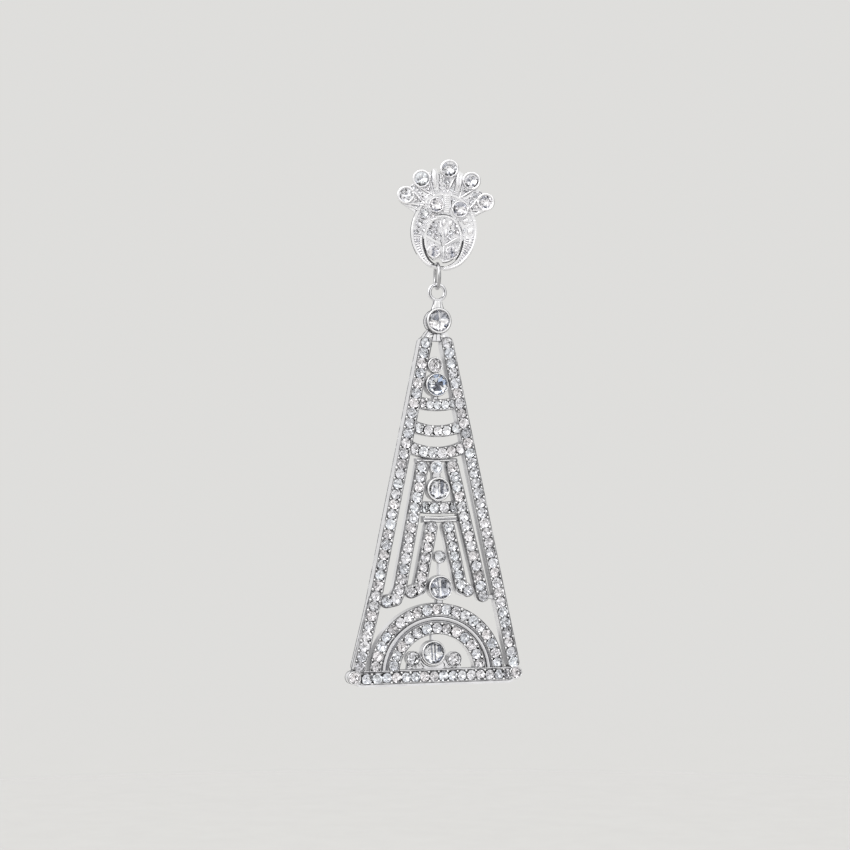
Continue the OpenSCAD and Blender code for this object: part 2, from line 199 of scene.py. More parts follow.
def cut_stone(rng, r, depth=0.84, crown=0.3, table=0.55, shades=None):
    """A round brilliant about its girdle: a crown of table, stars, kites and halves over two rows of pavilion facets."""
    mid = 0.5 * (1 + table) + 0.02
    c = math.cos(math.radians(22.5))
    hm = crown * (1 - mid * c) / (1 - table)
    v = [polar(table * r, 45 * i, crown * r) for i in range(8)]              # 0-7 table
    v += [polar(mid * r, 45 * i + 22.5, hm * r) for i in range(8)]           # 8-15
    v += [polar(r, 22.5 * i, 0.0) for i in range(16)]                        # 16-31 top of the girdle
    v += [polar(r, 22.5 * i, -0.06 * r) for i in range(16)]                  # 32-47 foot of the girdle
    f, m = [list(range(8))], [0]
    for i in range(8):
        j, k = (i + 1) % 8, (i - 1) % 8
        g, h, n = 16 + 2 * i, 16 + 2 * i + 1, 16 + (2 * i + 2) % 16
        f += [[i, 8 + i, j], [i, 8 + k, g, 8 + i], [8 + i, g, h], [8 + i, h, n]]
        m += [0, 0, 0, 0]
        f += [[g, g + 16, h + 16, h], [h, h + 16, n + 16, n]]
        m += [0, 0]
    pv, pf = pavilion(rng, r, 16, 0, 32, depth)
    v, f, m = v + pv, f + pf, m + [1] * len(pf)
    return v, f, m, facets(rng, m, shades or CLEAR)


def chaton(rng, r, depth=0.84, crown=0.3, table=0.58, n=8, shades=None):
    """A small stone about its girdle: a table and one row of crown facets over two rows of pavilion facets."""
    step = 360 / n
    v = [polar(table * r, step * i, crown * r) for i in range(n)]
    v += [polar(r, step * (i + 0.5), 0.0) for i in range(n)]
    v += [polar(r, step * (i + 0.5), -0.06 * r) for i in range(n)]
    f, m = [list(range(n))], [0]
    for i in range(n):
        j = (i + 1) % n
        f += [[i, n + i, j], [i, n + (i - 1) % n, n + i], [n + i, 2 * n + i, 2 * n + j, n + j]]
        m += [0, 0, 0]
    pv, pf = pavilion(rng, r, n, 0, 2 * n, depth)
    v, f, m = v + pv, f + pf, m + [1] * len(pf)
    return v, f, m, facets(rng, m, shades or PAVE)


# palettes of painted shade for pavilion facets, standing in for the bright and dark light that facets reflect
CLEAR = (1.0, 1.0, 1.0, 1.0, 1.0, 0.9, 0.62, 0.35)
DEEP = (1.0, 1.0, 0.85, 0.75, 0.62, 0.5, 0.38)
PAVE = (1.0, 1.0, 1.0, 0.98, 0.94, 0.85, 0.64, 0.38)
SOFT = (1.0, 1.0, 1.0, 1.0, 1.0, 1.0, 0.9, 0.6)
PALE = (1.0, 1.0, 1.0, 1.0, 1.0, 0.97, 0.9, 0.7)


def facets(rng, kinds, shades):
    """A painted shade for each face: crown faces clear, each pavilion face a value drawn at random from the palette,
    standing in for the light and dark its reflection would bring.
    """
    warm = rng.uniform(-0.026, 0.01)
    out = []
    for kind in kinds:
        s = rng.choice(shades) if kind else 1.0
        out.append((s * (0.995 + warm), s * 0.99, min(1.0, s * (1.0 - warm) + 0.005)) if kind else (1, 1, 1))
    return out


def cut_along(verts, faces, kinds, shades, line):
    """Cuts the pavilion facets that cross a line of the drawing, given as a, b, c of a x + b y = c."""
    a, b, c = line
    f, m, s = [], [], []
    for face, kind, shade in zip(faces, kinds, shades):
        d = [a * verts[i][0] + b * verts[i][1] - c for i in face]
        if not kind or max(d) <= 1e-6 or min(d) >= -1e-6:
            f.append(face)
            m.append(kind)
            s.append(shade)
            continue
        low, high = [], []
        for k, i in enumerate(face):
            j = (k + 1) % len(face)
            if d[k] <= 0:
                low.append(i)
            if d[k] >= 0:
                high.append(i)
            if d[k] * d[j] < 0:
                q = d[k] / (d[k] - d[j])
                verts.append(tuple(u + (w - u) * q for u, w in zip(verts[i], verts[face[j]])))
                low.append(len(verts) - 1)
                high.append(len(verts) - 1)
        f += [low, high]
        m += [kind, kind]
        s += [shade, shade]
    return f, m, s


def paint_reflections(rng, verts, faces, kinds, shades, x, y, r, rules):
    """Painted light and shade on a large stone's back: a side painted darker, painted dark and bright spots and upright
    bars, the later over the earlier.
    """
    for rule in rules:
        if rule[0] == "bar":
            _, u0, u1, slant, v0, v1, tones = rule
            for u in (u0, u1):
                faces, kinds, shades = cut_along(verts, faces, kinds, shades, (1.0, -slant, x - slant * y + u * r))
            for v in (v0, v1):
                if abs(v) < 1:
                    faces, kinds, shades = cut_along(verts, faces, kinds, shades, (0.0, 1.0, y + v * r))
    out = []
    for f, kind, shade in zip(faces, kinds, shades):
        u = (sum(verts[i][0] for i in f) / len(f) - x) / r
        v = (sum(verts[i][1] for i in f) / len(f) - y) / r
        for rule in rules if kind else ():
            if rule[0] == "side":
                _, turn, part, tones = rule
                hit = u * math.cos(math.radians(turn)) + v * math.sin(math.radians(turn)) > part
            elif rule[0] == "spot":
                _, cu, cv, wide, tones = rule
                hit = math.hypot(u - cu, v - cv) < wide
            else:
                _, u0, u1, slant, v0, v1, tones = rule
                hit = u0 < u - slant * v < u1 and v0 < v < v1
            if hit:
                k = rng.choice(tones)
                if isinstance(k, tuple):
                    shade = k
                else:
                    cool = max(0.0, 1.0 - k)
                    shade = (k * (1 - 0.15 * cool), k * (1 - 0.08 * cool), min(1.0, k * (1 + 0.14 * cool)))
        out.append(shade)
    return faces, kinds, out


def moved(verts, x, y, z, spin=0.0, tilt=0.0, way=0.0):
    t = (
        Matrix.Translation((x, y, z))
        @ Matrix.Rotation(tilt, 4, Vector((math.cos(way), math.sin(way), 0)))
        @ Matrix.Rotation(spin, 4, "Z")
    )
    return [tuple(t @ Vector(p)) for p in verts]


def put_stone(b, rng, x, y, z, r, tilt=2.5, **shape):
    v, f, m, s = chaton(rng, r, **shape)
    b.add(
        moved(v, x, y, z, rng.uniform(0, math.pi), math.radians(rng.uniform(-tilt, tilt)), rng.uniform(0, 6.28)),
        f, m, s, False,
    )


def dome(b, x, y, z, r, h, n=10, rings=3, shade=(1, 1, 1)):
    """A small bead: a half ball, r wide to each side and h high, on a short neck."""
    v, f = [(x, y, z + h)], []
    for k in range(1, rings + 1):
        a = 0.5 * math.pi * k / rings
        v += [(x + r * math.sin(a) * math.cos(6.2832 * i / n), y + r * math.sin(a) * math.sin(6.2832 * i / n), z + h * math.cos(a)) for i in range(n)]
    v += [(x + r * math.cos(6.2832 * i / n), y + r * math.sin(6.2832 * i / n), z - 0.35) for i in range(n)]
    f += [[0, 1 + i, 1 + (i + 1) % n] for i in range(n)]
    for k in range(rings):
        a, c = 1 + k * n, 1 + (k + 1) * n
        f += [[a + i, c + i, c + (i + 1) % n, a + (i + 1) % n] for i in range(n)]
    last = 1 + rings * n
    f.append([last + n - 1 - i for i in range(n)])
    b.add(v, f, [0] * len(f), [shade] * len(f), True)


def lip(b, x, y, z, r_in, r_out, h, n=40, m=8, uneven=0.0, seed=0):
    """The rounded top of a bezel: half a ring, higher at its middle, pushed over the stone a little unevenly."""
    c, w = 0.5 * (r_in + r_out), 0.5 * (r_out - r_in)
    rg = random.Random(seed)
    waves = [(k, rg.uniform(0.4, 1.0), rg.uniform(0, 6.28)) for k in (5, 8, 11, 17)]
    v, f = [], []
    for i in range(n):
        a = 2 * math.pi * i / n
        e = uneven * sum(q * math.sin(k * a + o) for k, q, o in waves) / 2
        for k in range(m + 1):
            t = math.pi * k / m
            rr, zz = c - e * w * 0.4 + w * (1 + 0.5 * e) * math.cos(t), z + h * (1 + e) * math.sin(t)
            v.append((x + rr * math.cos(a), y + rr * math.sin(a), zz))
        v.append((x + r_in * math.cos(a), y + r_in * math.sin(a), z - 0.12))
        v.append((x + r_out * math.cos(a), y + r_out * math.sin(a), z - 0.12))
    s = m + 3
    for i in range(n):
        a, c2 = i * s, ((i + 1) % n) * s
        for k in range(m):
            f.append([a + k, c2 + k, c2 + k + 1, a + k + 1])
        f.append([a + m, c2 + m, c2 + m + 1, a + m + 1])
        f.append([a + m + 1, c2 + m + 1, c2 + m + 2, a + m + 2])
        f.append([a + m + 2, c2 + m + 2, c2, a])
    b.add(v, f, [0] * len(f), [(1, 1, 1)] * len(f), True)


def wire(b, pts, r, z, closed=False, sides=8, rise=1.0, ends=None):
    """A rounded rod along points of the drawing, r to each side and rise times r high. ends tapers both ends to that part."""
    p = [Vector((q[0], q[1], q[2] if len(q) > 2 else z)) for q in pts]
    n = len(p)
    v, f = [], []
    for i in range(n):
        a = p[(i - 1) % n] if closed or i else p[0]
        c = p[(i + 1) % n] if closed or i < n - 1 else p[-1]
        t = (c - a).normalized()
        side = Vector((-t.y, t.x, 0)).normalized()
        up = t.cross(side)
        if up.z < 0:
            up = -up
        k = 1.0 if ends is None else ends + (1 - ends) * max(0.0, math.sin(math.pi * i / (n - 1))) ** 0.6
        for j in range(sides):
            w = 2 * math.pi * j / sides
            v.append(tuple(p[i] + side * (r * k * math.cos(w)) + up * (r * k * rise * math.sin(w))))
    for i in range(n if closed else n - 1):
        a, c = i * sides, ((i + 1) % n) * sides
        for j in range(sides):
            f.append([a + j, c + j, c + (j + 1) % sides, a + (j + 1) % sides])
    if not closed:
        f.append(list(range(sides)))
        f.append([(n - 1) * sides + sides - 1 - j for j in range(sides)])
    b.add(v, f, [0] * len(f), [(1, 1, 1)] * len(f), True)


def along(pts, count, first=0.0, last=0.0):
    """count places spread evenly along a line of points, with the way there."""
    seg = [math.dist(a, b) for a, b in zip(pts, pts[1:])]
    total = sum(seg) - first - last
    out = []
    for i in range(count):
        s = first + total * i / max(count - 1, 1)
        k = 0
        while k < len(seg) - 1 and s > seg[k]:
            s -= seg[k]
            k += 1
        a, b = pts[k], pts[k + 1]
        t = s / seg[k]
        out.append((a[0] + (b[0] - a[0]) * t, a[1] + (b[1] - a[1]) * t, math.atan2(b[1] - a[1], b[0] - a[0])))
    return out


def heights(node, matrix, lowest):
    """A function for the height of a casting under a place of its drawing."""
    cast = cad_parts[node]
    to_drawing = matrix.inverted() @ cast.matrix_world
    tree = BVHTree.FromPolygons([tuple(to_drawing @ q.co) for q in cast.data.vertices], [tuple(q.vertices) for q in cast.data.polygons])

    def height(x, y):
        hit = tree.ray_cast(Vector((x, y, 8)), Vector((0, 0, -1)))[0]
        return None if hit is None or hit.z < lowest else hit.z
    return height


# ---------------------------------------------------------------- distances in the drop's drawing

def d_bar(X, Y, pts, w):
    """Distance outside a band of width w along a line of points."""
    out = None
    for (ax, ay), (bx, by) in zip(pts, pts[1:]):
        dx, dy = bx - ax, by - ay
        t = np.clip(((X - ax) * dx + (Y - ay) * dy) / (dx * dx + dy * dy), 0, 1)
        d = np.hypot(X - ax - t * dx, Y - ay - t * dy) - w / 2
        out = d if out is None else np.minimum(out, d)
    return out


def d_sag(X, Y, c, w, half):
    d = np.abs(np.hypot(X - c[0], Y - c[1] - c[2]) - c[2]) - w / 2
    return np.maximum(np.maximum(d, np.abs(X - c[0]) - half), np.maximum(c[1] - 2 - Y, Y - c[1] - 2))


def band_fields(X, Y):
    """Distances outside each paved band of the drop, in groups: a band ends at those of an earlier group."""
    legs = [d_bar(X, Y, LEG_L, BAND), d_bar(X, Y, LEG_R, BAND)]
    base = d_bar(X, Y, BASE, BAND + 0.05)
    bars = [TOWER_L + FEET[2][1:] + FEET[3][1:], TOWER_R + FEET[4][1:], INNER_L + FEET[0][1:], INNER_R + FEET[1][1:]]
    cross = [d_sag(X, Y, c, c[4], c[3]) for c in CROSS]
    r = np.hypot(X - ARCH_C[0], Y - ARCH_C[1])
    arch = [np.where(Y > -63.15, np.maximum(r - a, b - r), 1.0) for a, b in ARCHES]
    return [legs, [base], [d_bar(X, Y, b, BAND) for b in bars], cross + arch]


def d_bezels(X, Y):
    return np.minimum.reduce([np.hypot(X - x, Y - y) - r - w for _, x, y, r, w, _ in DROP_BEZELS])


def open_runs(line, group):
    """The parts of a closed line that lie clear of the earlier groups' bands and of the bezels."""
    x, y = np.array(line).T
    free = d_bezels(x, y) > 0.0
    for earlier in band_fields(x, y)[:group]:
        for q in earlier:
            free &= q > 0.0
    if free.all():
        return [(line, True)]
    first = int(np.argmin(free))
    runs, run = [], []
    for k in range(len(line)):
        i = (first + k) % len(line)
        if free[i]:
            run.append(line[i])
        elif run:
            runs.append((run, False))
            run = []
    if run:
        runs.append((run, False))
    return [q for q in runs if len(q[0]) > 2]


def d_poly(X, Y, pts):
    """Signed distance outside a polygon."""
    d, inside = None, np.zeros(X.shape, bool)
    for (ax, ay), (bx, by) in zip(pts, pts[1:] + pts[:1]):
        dx, dy = bx - ax, by - ay
        k = np.clip(((X - ax) * dx + (Y - ay) * dy) / (dx * dx + dy * dy), 0, 1)
        e = np.hypot(X - ax - k * dx, Y - ay - k * dy)
        d = e if d is None else np.minimum(d, e)
        if ay != by:
            inside ^= ((Y < ay) != (Y < by)) & (X < ax + (Y - ay) * dx / dy)
    return np.where(inside, -d, d)


def box(x, y, w, h):
    return [(x, y), (x + w, y), (x + w, y + h), (x, y + h)]


# Plain metal between the bands and bezels
JOINING = [
    [(-2.1, -9.0), (-0.85, -8.1), (1.0, -8.1), (2.1, -9.0), (2.6, -7.9), (1.7, -6.2), (-1.3, -6.2), (-2.5, -7.9)],
    box(-0.6, -18.2, 0.9, 6), box(-3.6, -28.05, 7.2, 0.7), box(-0.8, -31, 1.4, 3.2), box(-0.5, -35.2, 1.2, 2),
    box(-2.5, -37.95, 6.1, 1.1), box(-0.25, -51.7, 1.1, 2),
    [(7.83, -50.5), (10.83, -51.0), (10.97, -50.2), (7.97, -49.7)],
]


def contours(field, xs, ys, level):
    """Closed lines where a sampled field has a level, by marching squares."""
    F = field - level
    segs = {}

    def cut(i, j, k, l):
        a, b = F[j, i], F[l, k]
        t = a / (a - b)
        return (round(xs[i] + (xs[k] - xs[i]) * t, 6), round(ys[j] + (ys[l] - ys[j]) * t, 6))

    S = F > 0
    code = S[:-1, :-1] * 1 + S[:-1, 1:] * 2 + S[1:, 1:] * 4 + S[1:, :-1] * 8
    edges = {
        1: [(3, 0)], 2: [(0, 1)], 3: [(3, 1)], 4: [(1, 2)], 5: [(3, 2), (1, 0)], 6: [(0, 2)], 7: [(3, 2)],
        8: [(2, 3)], 9: [(2, 0)], 10: [(0, 3), (2, 1)], 11: [(2, 1)], 12: [(1, 3)], 13: [(1, 0)], 14: [(0, 3)],
    }
    for j, i in zip(*np.nonzero((code > 0) & (code < 15))):
        side = [
            lambda: cut(i, j, i + 1, j), lambda: cut(i + 1, j, i + 1, j + 1),
            lambda: cut(i, j + 1, i + 1, j + 1), lambda: cut(i, j, i, j + 1),
        ]
        for a, b in edges[int(code[j, i])]:
            segs[side[a]()] = side[b]()
    loops = []
    while segs:
        start, nxt = segs.popitem()
        loop = [start]
        while nxt != start:
            loop.append(nxt)
            if nxt not in segs:
                break
            nxt = segs.pop(nxt)
        loops.append(loop)
    return loops


def eased(loop, step, rounds=2):
    """A closed line smoothed a little and sampled again at an even step."""
    p = np.array(loop)
    for _ in range(rounds):
        p = 0.5 * p + 0.25 * (np.roll(p, 1, 0) + np.roll(p, -1, 0))
    d = np.hypot(*(np.roll(p, -1, 0) - p).T)
    s = np.concatenate([[0], np.cumsum(d)])
    n = max(12, int(s[-1] / step))
    q = np.vstack([p, p[:1]])
    u = np.linspace(0, s[-1], n, endpoint=False)
    return list(zip(np.interp(u, s, q[:, 0]), np.interp(u, s, q[:, 1])))


# ---------------------------------------------------------------- materials

def node_material(name):
    m = bpy.data.materials.new(name)
    m.use_nodes = True
    nt = m.node_tree
    bsdf = nt.nodes["Principled BSDF"]
    return m, nt, bsdf


def ramp(nt, fac, stops):
    r = nt.nodes.new("ShaderNodeValToRGB")
    while len(r.color_ramp.elements) < len(stops):
        r.color_ramp.elements.new(0.5)
    for e, (pos, col) in zip(r.color_ramp.elements, stops):
        e.position = pos
        e.color = (*col, 1) if len(col) == 3 else col
    nt.links.new(fac, r.inputs["Fac"])
    return r.outputs["Color"]


def noise(nt, coord, scale, detail=3.0, rough=0.5, stretch=None):
    n = nt.nodes.new("ShaderNodeTexNoise")
    n.inputs["Scale"].default_value = scale
    n.inputs["Detail"].default_value = detail
    n.inputs["Roughness"].default_value = rough
    src = coord
    if stretch:
        mp = nt.nodes.new("ShaderNodeMapping")
        mp.inputs["Scale"].default_value = stretch
        nt.links.new(coord, mp.inputs["Vector"])
        src = mp.outputs["Vector"]
    nt.links.new(src, n.inputs["Vector"])
    return n.outputs["Fac"]


def mix(nt, fac, a, b, blend="MIX"):
    x = nt.nodes.new("ShaderNodeMix")
    x.data_type = "RGBA"
    x.blend_type = blend
    for sock, val in ((x.inputs["Factor"], fac), (x.inputs[6], a), (x.inputs[7], b)):
        if hasattr(val, "is_linked") or hasattr(val, "links"):
            nt.links.new(val, sock)
        elif isinstance(val, (int, float)):
            sock.default_value = val
        else:
            sock.default_value = (*val, 1)
    return x.outputs[2]


def maths(nt, op, a, b=None):
    x = nt.nodes.new("ShaderNodeMath")
    x.operation = op
    for sock, val in zip(x.inputs, (a, b)):
        if val is None:
            continue
        if isinstance(val, (int, float)):
            sock.default_value = val
        else:
            nt.links.new(val, sock)
    return x.outputs[0]


def plated(name, tone=(0.80, 0.80, 0.82), hollow_shade=(0.30, 0.30, 0.33), rough=(0.1, 0.26), grain=0.00002, recess=0.0007, wear=0.5, gaps=0.0, patchy_shade=0.0):
    """Bright plate over cast metal: faint cloudiness, fine handling marks, a soft cast grain and painted shade
    darkening the hollows; optionally painted shade on walls that face across narrow gaps, a duller cast skin on the
    back, and painted shade in random patches.
    """
    m, nt, bsdf = node_material(name)
    tc = nt.nodes.new("ShaderNodeTexCoord")
    co = tc.outputs["Object"]
    cloud = noise(nt, co, 420, 4, 0.55)
    fine = noise(nt, co, 2600, 3, 0.6)
    streak = noise(nt, co, 1500, 2, 0.5, (1.0, 1.0, 7.0))
    worn = tuple(min(1.0, c * 1.04) for c in tone)
    grey = tuple(c * 0.88 for c in tone)
    body = ramp(nt, cloud, [(0.3, grey), (0.55, tone), (0.75, worn)])
    # painted shade in random patches: the colour darkens here and there, standing in for a dark edge broken by
    # highlights
    if patchy_shade:
        low = 1 - patchy_shade
        body = mix(nt, 1.0, body, ramp(nt, noise(nt, co, 900, 2, 0.5), [(0.4, (low, low, low)), (0.56, (1, 1, 1))]), "MULTIPLY")
    # painted shade: where occlusion finds surfaces close by, the colour darkens towards the given shade colour
    ao = nt.nodes.new("ShaderNodeAmbientOcclusion")
    ao.samples = 6
    ao.inputs["Distance"].default_value = recess
    hollow_shade_mask = ramp(nt, ao.outputs["AO"], [(0.0, (0, 0, 0)), (0.5, (0.55, 0.55, 0.55)), (0.85, (1, 1, 1))])
    colour = mix(nt, hollow_shade_mask, hollow_shade, body)
    # painted shade: walls that face across narrow gaps darken where a wide occlusion finds the neighbouring band
    if gaps:
        wide = nt.nodes.new("ShaderNodeAmbientOcclusion")
        wide.samples = 8
        wide.inputs["Distance"].default_value = gaps
        deep = ramp(nt, wide.outputs["AO"], [(0.35, (0.3, 0.3, 0.31)), (0.78, (1, 1, 1))])
        facing = nt.nodes.new("ShaderNodeVectorMath")
        facing.operation = "DOT_PRODUCT"
        facing.inputs[1].default_value = DROP.to_3x3().normalized() @ Vector((0, 0, 1))
        nt.links.new(tc.outputs["Normal"], facing.inputs[0])
        side = ramp(nt, maths(nt, "ABSOLUTE", facing.outputs["Value"]), [(0.35, (0, 0, 0)), (0.6, (1, 1, 1))])
        colour = mix(nt, side, mix(nt, 1.0, colour, deep, "MULTIPLY"), colour)
        # the back keeps its cast skin: duller, mottled and rougher than the face
        rear = ramp(nt, maths(nt, "MULTIPLY", facing.outputs["Value"], -1.0), [(0.6, (0, 0, 0)), (0.9, (1, 1, 1))])
        skin = ramp(nt, noise(nt, co, 330, 5, 0.7), [(0.34, (0.68, 0.68, 0.69)), (0.5, (0.8, 0.8, 0.81)), (0.66, (0.93, 0.93, 0.93))])
        colour = mix(nt, rear, colour, mix(nt, 1.0, colour, skin, "MULTIPLY"))
        pits = noise(nt, co, 3000, 4, 0.65)
    nt.links.new(colour, bsdf.inputs["Base Color"])
    bsdf.inputs["Metallic"].default_value = 1.0
    r = nt.nodes.new("ShaderNodeMapRange")
    r.inputs["From Min"].default_value = 0.3
    r.inputs["From Max"].default_value = 0.7
    r.inputs["To Min"].default_value = rough[0]
    r.inputs["To Max"].default_value = rough[1]
    nt.links.new(mix(nt, 0.5, fine, streak), r.inputs["Value"])
    rough_out, high = r.outputs["Result"], mix(nt, 0.35, cloud, fine)
    if gaps:
        rough_out = maths(nt, "ADD", rough_out, maths(nt, "MULTIPLY", rear, 0.16))
        high = maths(nt, "ADD", high, maths(nt, "MULTIPLY", maths(nt, "MULTIPLY", rear, pits), 2.2))
    nt.links.new(rough_out, bsdf.inputs["Roughness"])
    bump = nt.nodes.new("ShaderNodeBump")
    bump.inputs["Strength"].default_value = wear
    bump.inputs["Distance"].default_value = grain
    nt.links.new(high, bump.inputs["Height"])
    nt.links.new(bump.outputs["Normal"], bsdf.inputs["Normal"])
    return m


def shade_line_material(name, broken=False):
    """A dark line of painted shade, as between a stone and its rim. broken lets lighter plate show here and there."""
    m, nt, bsdf = node_material(name)
    tc = nt.nodes.new("ShaderNodeTexCoord")
    cloud = noise(nt, tc.outputs["Object"], 900, 3, 0.6)
    stops = [(0.25, (0.07, 0.07, 0.08)), (0.6, (0.15, 0.15, 0.16)), (0.8, (0.3, 0.3, 0.31))]
    if broken:
        stops = [(0.3, (0.08, 0.08, 0.09)), (0.48, (0.16, 0.16, 0.17)), (0.58, (0.36, 0.36, 0.37)), (0.7, (0.62, 0.62, 0.63))]
    nt.links.new(ramp(nt, cloud, stops), bsdf.inputs["Base Color"])
    bsdf.inputs["Metallic"].default_value = 1.0
    r = nt.nodes.new("ShaderNodeMapRange")
    r.inputs["To Min"].default_value = 0.3
    r.inputs["To Max"].default_value = 0.55
    nt.links.new(cloud, r.inputs["Value"])
    nt.links.new(r.outputs["Result"], bsdf.inputs["Roughness"])
    return m


def crystal(name):
    """Clear cut glass: the crown, with the faintest cloud and polish marks."""
    m, nt, bsdf = node_material(name)
    tc = nt.nodes.new("ShaderNodeTexCoord")
    cloud = noise(nt, tc.outputs["Object"], 700, 3, 0.5)
    nt.links.new(ramp(nt, cloud, [(0.3, (0.985, 0.985, 1.0)), (0.7, (1.0, 1.0, 1.0))]), bsdf.inputs["Base Color"])
    bsdf.inputs["Transmission Weight"].default_value = 1.0
    bsdf.inputs["IOR"].default_value = 1.42
    r = nt.nodes.new("ShaderNodeMapRange")
    r.inputs["From Min"].default_value = 0.3
    r.inputs["From Max"].default_value = 0.7
    r.inputs["To Min"].default_value = 0.0
    r.inputs["To Max"].default_value = 0.03
    nt.links.new(cloud, r.inputs["Value"])
    nt.links.new(r.outputs["Result"], bsdf.inputs["Roughness"])
    return m


def foil(name):
    """The silvered back of a stone, seen through its crown: each facet is multiplied by its painted shade, standing in
    for the light and dark it reflects.
    """
    m, nt, bsdf = node_material(name)
    at = nt.nodes.new("ShaderNodeAttribute")
    at.attribute_name = "shade"
    tc = nt.nodes.new("ShaderNodeTexCoord")
    cloud = noise(nt, tc.outputs["Object"], 1200, 3, 0.5)
    tone = ramp(nt, cloud, [(0.3, (0.95, 0.95, 0.955)), (0.7, (1.0, 1.0, 1.0))])
    nt.links.new(mix(nt, 1.0, at.outputs["Color"], tone, "MULTIPLY"), bsdf.inputs["Base Color"])
    bsdf.inputs["Metallic"].default_value = 1.0
    bsdf.inputs["Roughness"].default_value = 0.08
    return m


cast_crest = plated("plated_crest", tone=(0.90, 0.90, 0.91), hollow_shade=(0.7, 0.7, 0.73), rough=(0.16, 0.34), recess=0.0004)
cast_drop = plated("plated_drop", tone=(0.84, 0.84, 0.86), hollow_shade=(0.6, 0.6, 0.63), rough=(0.12, 0.28), recess=0.0005, gaps=0.0018)
rim_drop = plated("plated_rims", tone=(0.80, 0.80, 0.81), hollow_shade=(0.16, 0.16, 0.17), rough=(0.08, 0.2), recess=0.00035, wear=0.3, patchy_shade=0.45)
bright = plated("plated_bright", tone=(0.90, 0.90, 0.91), hollow_shade=(0.5, 0.5, 0.53), rough=(0.08, 0.2), recess=0.0003, wear=0.25)
bezel_drop = plated("plated_bezels", tone=(0.88, 0.88, 0.89), hollow_shade=(0.3, 0.3, 0.32), rough=(0.1, 0.22), recess=0.0003, wear=0.35)
bead_metal = plated("plated_beads", tone=(0.8, 0.8, 0.81), hollow_shade=(0.35, 0.35, 0.37), rough=(0.1, 0.22), recess=0.00025, wear=0.3)
# a darker copy of the plate: painted shade for the half round between the arches
shaded_rail_metal = plated("plated_rails_shaded", tone=(0.72, 0.72, 0.74), hollow_shade=(0.16, 0.16, 0.18), rough=(0.1, 0.22), recess=0.0004, wear=0.3)
crest_bezel = plated("plated_crest_bezels", tone=(0.85, 0.845, 0.86), hollow_shade=(0.5, 0.5, 0.54), rough=(0.14, 0.3), recess=0.0003, wear=0.5)
crest_fine = plated("plated_crest_fine", tone=(0.93, 0.925, 0.94), hollow_shade=(0.58, 0.58, 0.62), rough=(0.1, 0.24), recess=0.00035, wear=0.35)
wire_metal = plated("plated_wire", tone=(0.49, 0.49, 0.5), hollow_shade=(0.18, 0.18, 0.2), rough=(0.06, 0.18), recess=0.0004, wear=0.25)
clip_metal = plated("plated_clip", tone=(0.78, 0.78, 0.79), hollow_shade=(0.3, 0.3, 0.32), rough=(0.14, 0.3), recess=0.0008, wear=0.4)
# dark lines of painted shade
shade_line_mat = shade_line_material("painted_shade_line")
shade_rows_mat = shade_line_material("painted_shade_rows", broken=True)
glass = crystal("cut_glass")
back = foil("foiled_back")

for node, mat in (("crest", cast_crest), ("drop_frame", cast_drop), ("jump_ring", wire_metal), ("ear_clip", clip_metal)):
    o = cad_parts[node]
    for s in o.material_slots:
        s.material = mat

# ---------------------------------------------------------------- stones of the paved bands

rng = random.Random(7)
STONE = 0.88        # radius of a small stone of the drop


def free_of(x, y, lines, gap):
    return all(float(d_bar(np.array(x), np.array(y), l, 0)) > gap for l in lines)


paved, beads = Build(), Build()


def pave(places, r, band, shades=None):
    """Stones along a band, with a pair of beads between neighbours."""
    z = FACE + 0.03
    for k, (x, y, a) in enumerate(places):
        rr = r * rng.uniform(0.95, 1.01)
        x, y = x + rng.uniform(-0.04, 0.04), y + rng.uniform(-0.04, 0.04)
        put_stone(paved, rng, x, y, z + rng.uniform(-0.03, 0.03), rr, tilt=7.0, depth=0.84, crown=0.26, table=0.6, shades=shades or (DEEP if rng.random() < 0.12 else PAVE))
        if k + 1 < len(places):
            nx, ny, na = places[k + 1]
            mx, my = 0.5 * (x + nx), 0.5 * (y + ny)
            b = 0.5 * (a + na)
            for side in (-1, 1):
                off = side * (band / 2 - 0.27) * rng.uniform(0.96, 1.04)
                slip = rng.uniform(-0.07, 0.07)
                dome(beads, mx - math.sin(b) * off + math.cos(b) * slip, my + math.cos(b) * off + math.sin(b) * slip, FACE - 0.1, rng.uniform(0.2, 0.29), rng.uniform(0.2, 0.27))


pave(along(LEG_L, 33), STONE, BAND)
pave(along(LEG_R, 33), STONE, BAND)
pave([(-12.3, -63.3, 0.0), (-10.55, -63.24, 0.0)], 0.88, BAND)
pave(along([(-8.85, -63.15), (12.0, -63.15)], 14), 0.84, BAND)
pave(along(TOWER_L + FEET[2][1:] + FEET[3][1:], 15), STONE, BAND)
pave(along(TOWER_R + FEET[4][1:], 14), STONE, BAND)
pave(along(INNER_L + FEET[0][1:], 8), 0.82, BAND)
pave(along(INNER_R + FEET[1][1:], 8), 0.82, BAND)
for (out, inn), first, count in ((ARCHES[0], 8.3, 19), (ARCHES[1], 11.2, 13)):
    R = (out + inn) / 2
    row = []
    for k in range(count):
        t = math.radians(180 - first - (180 - 2 * first) * k / (count - 1))
        x, y = ARCH_C[0] + R * math.cos(t), ARCH_C[1] + R * math.sin(t)
        if free_of(x, y, [LEG_L, LEG_R], BAND / 2 + 0.62):
            row.append((x, y, t - math.pi / 2))
    pave(row, STONE, BAND)
for (cx, cy, cr, half, w), lo, hi, count in (
    (CROSS[0], -2.5, 2.65, 5), (CROSS[1], -3.15, 3.3, 5), (CROSS[2], -4.0, 4.05, 6), (CROSS[3], -2.4, 2.85, 4),
):
    row = []
    for k in range(count):
        x = lo + (hi - lo) * k / (count - 1)
        t = math.asin((x - cx) / cr)
        row.append((x, cy + cr - cr * math.cos(t), t))
    pave(row, min(0.5 * w - 0.15, 0.5 * (hi - lo) / (count - 1) * 1.06), w, SOFT)

